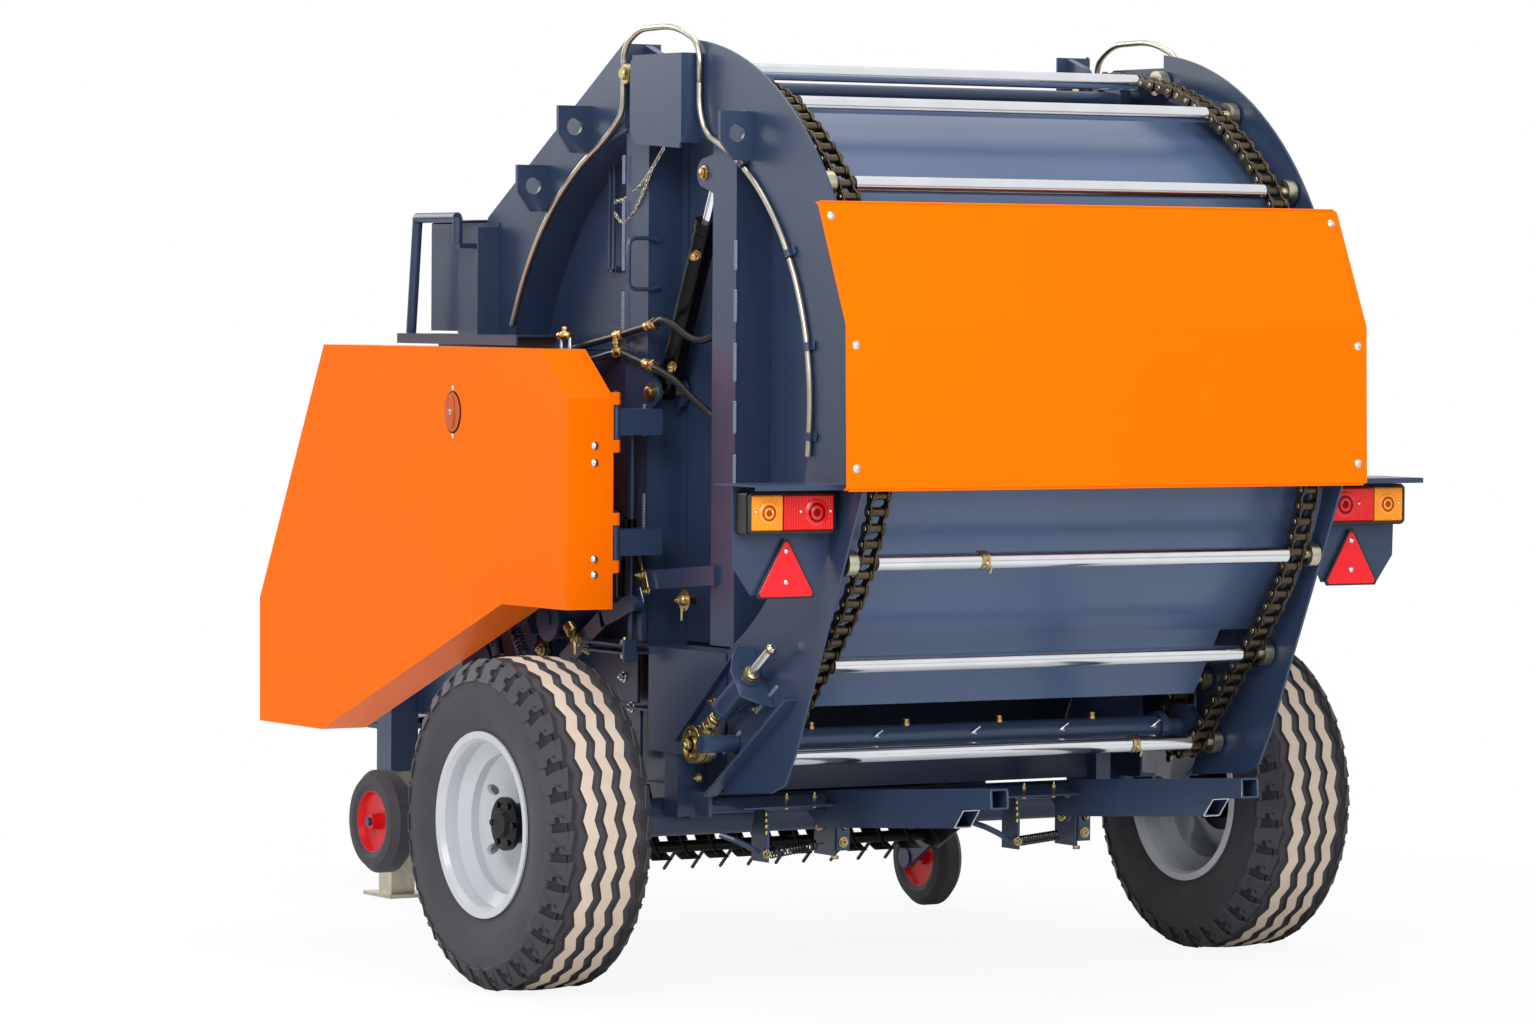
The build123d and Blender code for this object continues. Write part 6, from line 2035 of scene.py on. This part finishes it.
# ------------------------------------------------------------------ welds
@dataclass
class Welds:
    """Rippled fillet welds along the seams.

    Attributes:
        step: from ripple to ripple.
        seams: for each body its straight seams, as the distance out, then x and z of both ends.
    """

    step: float = 6.5
    seams: dict[str, tuple[tuple[float, Point2, Point2], ...]] = field(default_factory=lambda: {
        "chassis": (
            (646, (262, 2012), (262, 1918)), (646, (458, 1878), (458, 1784)), (651, (133, 1460), (133, 1590)),
            (651, (133, 1640), (133, 1800)), (651, (133, 1840), (133, 1900)), (651, (33, 1120), (33, 1010)),
            (651, (33, 1260), (33, 1330)),
        ),
        "tailgate": (
            (651, (-368, 1700), (-368, 1640)), (651, (-368, 1590), (-368, 1520)),
            (651, (-368, 1470), (-368, 1390)),
            (651, (-368, 1340), (-368, 1270)), (651, (-368, 1220), (-368, 1120)),
            (651, (-400, 1990), (-400, 1890)),
            (651, (-470, 652), (-560, 716)), (651, (-330, 552), (-400, 602)), (651, (-66, 2080), (-66, 1990)),
        ),
    })

    def make(self) -> None:
        """Lay every bead."""
        for body, seams in self.seams.items():
            # The beads take the lighter blue, a painted highlight on the ripples.
            ripple = Draft("weld_ripple").use(BLUE_WELD_HIGHLIGHT)
            ripple.lathe([(5.2, -0.6), (4.6, 1.4), (2.8, 2.6), (0, 3.0)], Vector(), UP, 8)
            beads = Repeater(f"weld_beads_{body}", ripple, BLUE_WELD_HIGHLIGHT)
            for y, start, end in seams:
                for s in SIDES:
                    line = [at(x, s * y, z) for x, z in (start, end)]
                    for place, ahead in evenly(line, self.step):
                        beads.add(place, outward(s) + Vector((-0.4, 0, 0)), ahead)
            beads.ride(body)


# ------------------------------------------------------------------ studio
@dataclass
class Studio:
    """Floor, backdrop, lights and camera."""

    eye: Vector = field(default_factory=lambda: Vector((-12.6975, 7.6170, 1.5743)))
    # turns in radians
    yaw: float = -0.5505
    pitch: float = -0.0356
    roll: float = 0.0071
    lens: float = 140.5
    aim: Vector = field(default_factory=lambda: Vector((-0.2, 0.0, 1.1)))
    # place, side and power of each lamp
    lamps: dict[str, tuple[Point3, float, float]] = field(default_factory=lambda: {
        "key": ((-5.5, 6.5, 6.0), 4.0, 460), "rear": ((-9.0, 0.8, 4.0), 4.0, 360),
        "top": ((0.5, 0.0, 7.5), 5.0, 300), "front": ((6.5, 3.0, 4.5), 4.0, 200),
    })
    floor_half: float = 60.0
    # distances between which the floor fades into the backdrop, and its glow there
    floor_reach: Point2 = (1.8, 3.2)
    floor_glow: Point2 = (0.9, 1.0)

    def camera(self) -> None:
        """The camera at the standing viewpoint."""
        data = bpy.data.cameras.new("view")
        data.lens, data.sensor_width, data.sensor_fit = self.lens, 36.0, "HORIZONTAL"
        data.clip_end = 200.0
        cy, sy, cp, sp = math.cos(self.yaw), math.sin(self.yaw), math.cos(self.pitch), math.sin(self.pitch)
        ahead, right = Vector((cy * cp, sy * cp, sp)), Vector((sy, -cy, 0))
        up = right.cross(ahead)
        cr, sr = math.cos(self.roll), math.sin(self.roll)
        x, y = right * cr + up * sr, up * cr - right * sr
        camera = stand("view", data)
        camera.matrix_world = Matrix.Translation(self.eye) @ Matrix((x, y, -ahead)).transposed().to_4x4()
        bpy.context.scene.camera = camera

    def lamp(self, name: str, place: Vector, size: float, watts: float) -> None:
        """A square soft light.

        Args:
            name: its name.
            place: where it hangs, metres.
            size: its side.
            watts: its power.
        """
        data = bpy.data.lights.new(name, "AREA")
        data.energy, data.size = watts, size
        lamp = stand(name, data)
        lamp.location = place
        lamp.rotation_mode = "QUATERNION"
        lamp.rotation_quaternion = (self.aim - place).to_track_quat("-Z", "Y")

    def world(self) -> None:
        """White surroundings for the eye, softer ones for the light."""
        world = bpy.data.worlds.new("surroundings")
        bpy.context.scene.world = world
        world.use_nodes = True
        tree = world.node_tree
        tree.nodes.clear()
        out, mix = grow(tree, "ShaderNodeOutputWorld"), grow(tree, "ShaderNodeMixShader")
        path = grow(tree, "ShaderNodeLightPath").outputs
        seen = grow(tree, "ShaderNodeBackground", Color=(1, 1, 1, 1))
        lit = grow(tree, "ShaderNodeBackground", Color=(0.95, 0.97, 1, 1), Strength=0.3)
        seen_by = grow(tree, "ShaderNodeMath", operation="MAXIMUM")
        wire(tree, (path["Is Camera Ray"], seen_by.inputs[0]), (path["Is Glossy Ray"], seen_by.inputs[1]),
             (seen_by.outputs[0], mix.inputs[0]), (lit.outputs[0], mix.inputs[1]),
             (seen.outputs[0], mix.inputs[2]),
             (mix.outputs[0], out.inputs["Surface"]))

    def floor(self) -> None:
        """A plain pale floor that fades into the backdrop."""
        draft, half = Draft("studio_floor"), self.floor_half
        corners = [(-half, -half), (half, -half), (half, half), (-half, half)]
        draft.bm.faces.new([draft.bm.verts.new((x, y, 0)) for x, y in corners])
        piece = stand("studio_floor", draft.mesh())
        skin = bpy.data.materials.new("studio_floor")
        skin.use_nodes = True
        tree = skin.node_tree
        shader = tree.nodes["Principled BSDF"]
        for label, value in (("Base Color", (0.9, 0.9, 0.9, 1)), ("Roughness", 0.9),
                             ("Specular IOR Level", 0.1)):
            shader.inputs[label].default_value = value
        glow, mix = grow(tree, "ShaderNodeEmission", Strength=1.0), grow(tree, "ShaderNodeMixShader")
        path, place = grow(tree, "ShaderNodeLightPath"), grow(tree, "ShaderNodeTexCoord")
        reach = grow(tree, "ShaderNodeVectorMath", operation="LENGTH")
        (near, far), (dim, full) = self.floor_reach, self.floor_glow
        fade = grow(tree, "ShaderNodeMapRange", From_Min=near, From_Max=far, To_Min=dim, To_Max=full)
        share = grow(tree, "ShaderNodeMath", operation="MULTIPLY")
        wire(tree, (place.outputs["Object"], reach.inputs[0]), (reach.outputs["Value"], fade.inputs["Value"]),
             (fade.outputs["Result"], share.inputs[1]), (path.outputs["Is Camera Ray"], share.inputs[0]),
             (share.outputs[0], mix.inputs[0]), (shader.outputs[0], mix.inputs[1]),
             (glow.outputs[0], mix.inputs[2]),
             (mix.outputs[0], tree.nodes["Material Output"].inputs["Surface"]))
        piece.data.materials.append(skin)
        piece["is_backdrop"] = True

    def make(self) -> None:
        """Set the studio up."""
        bpy.context.scene.view_settings.view_transform = "Standard"
        self.camera()
        self.world()
        self.floor()
        for name, (place, size, watts) in self.lamps.items():
            self.lamp(name, Vector(place), size, watts)


# ------------------------------------------------------------------ assembly
def dress_nodes(frame: dict[str, Any]) -> None:
    """Give every carried-over node its finish.
    """
    slots = {row["node"]: row["material_slot"] for row in frame["record"]["subparts"]}
    for name, node in frame["nodes"].items():
        finish = NODE_FINISH.get(name, SLOT_FINISH[slots[name]])
        for entry in node.material_slots:
            entry.material = finish.material()


def corners() -> list[list[float]]:
    """The shown object's lowest and highest corner as plain numbers."""
    return [list(corner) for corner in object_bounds()]


def main() -> None:
    """Dress the frame, build every sub-assembly and set the studio up."""
    logging.basicConfig(level=logging.INFO, format="%(name)s: %(message)s")
    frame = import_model()
    Studio().make()
    dress_nodes(frame)
    for part in (RoadTyre(1), RoadTyre(-1), Conveyor(), CoverTrim(), PanelTrim(), LampTrim(), UpperFittings(),
                 Hydraulics(), CylinderTrim(), *(Latchwork(s) for s in SIDES), Tensioner(), RampTrim(),
                 LowerTubeTrim(), Sill(), ConduitBend(frame["nodes"]["conduit_loop"]), Welds()):
        part.make()


if __name__ == "__main__":
    main()
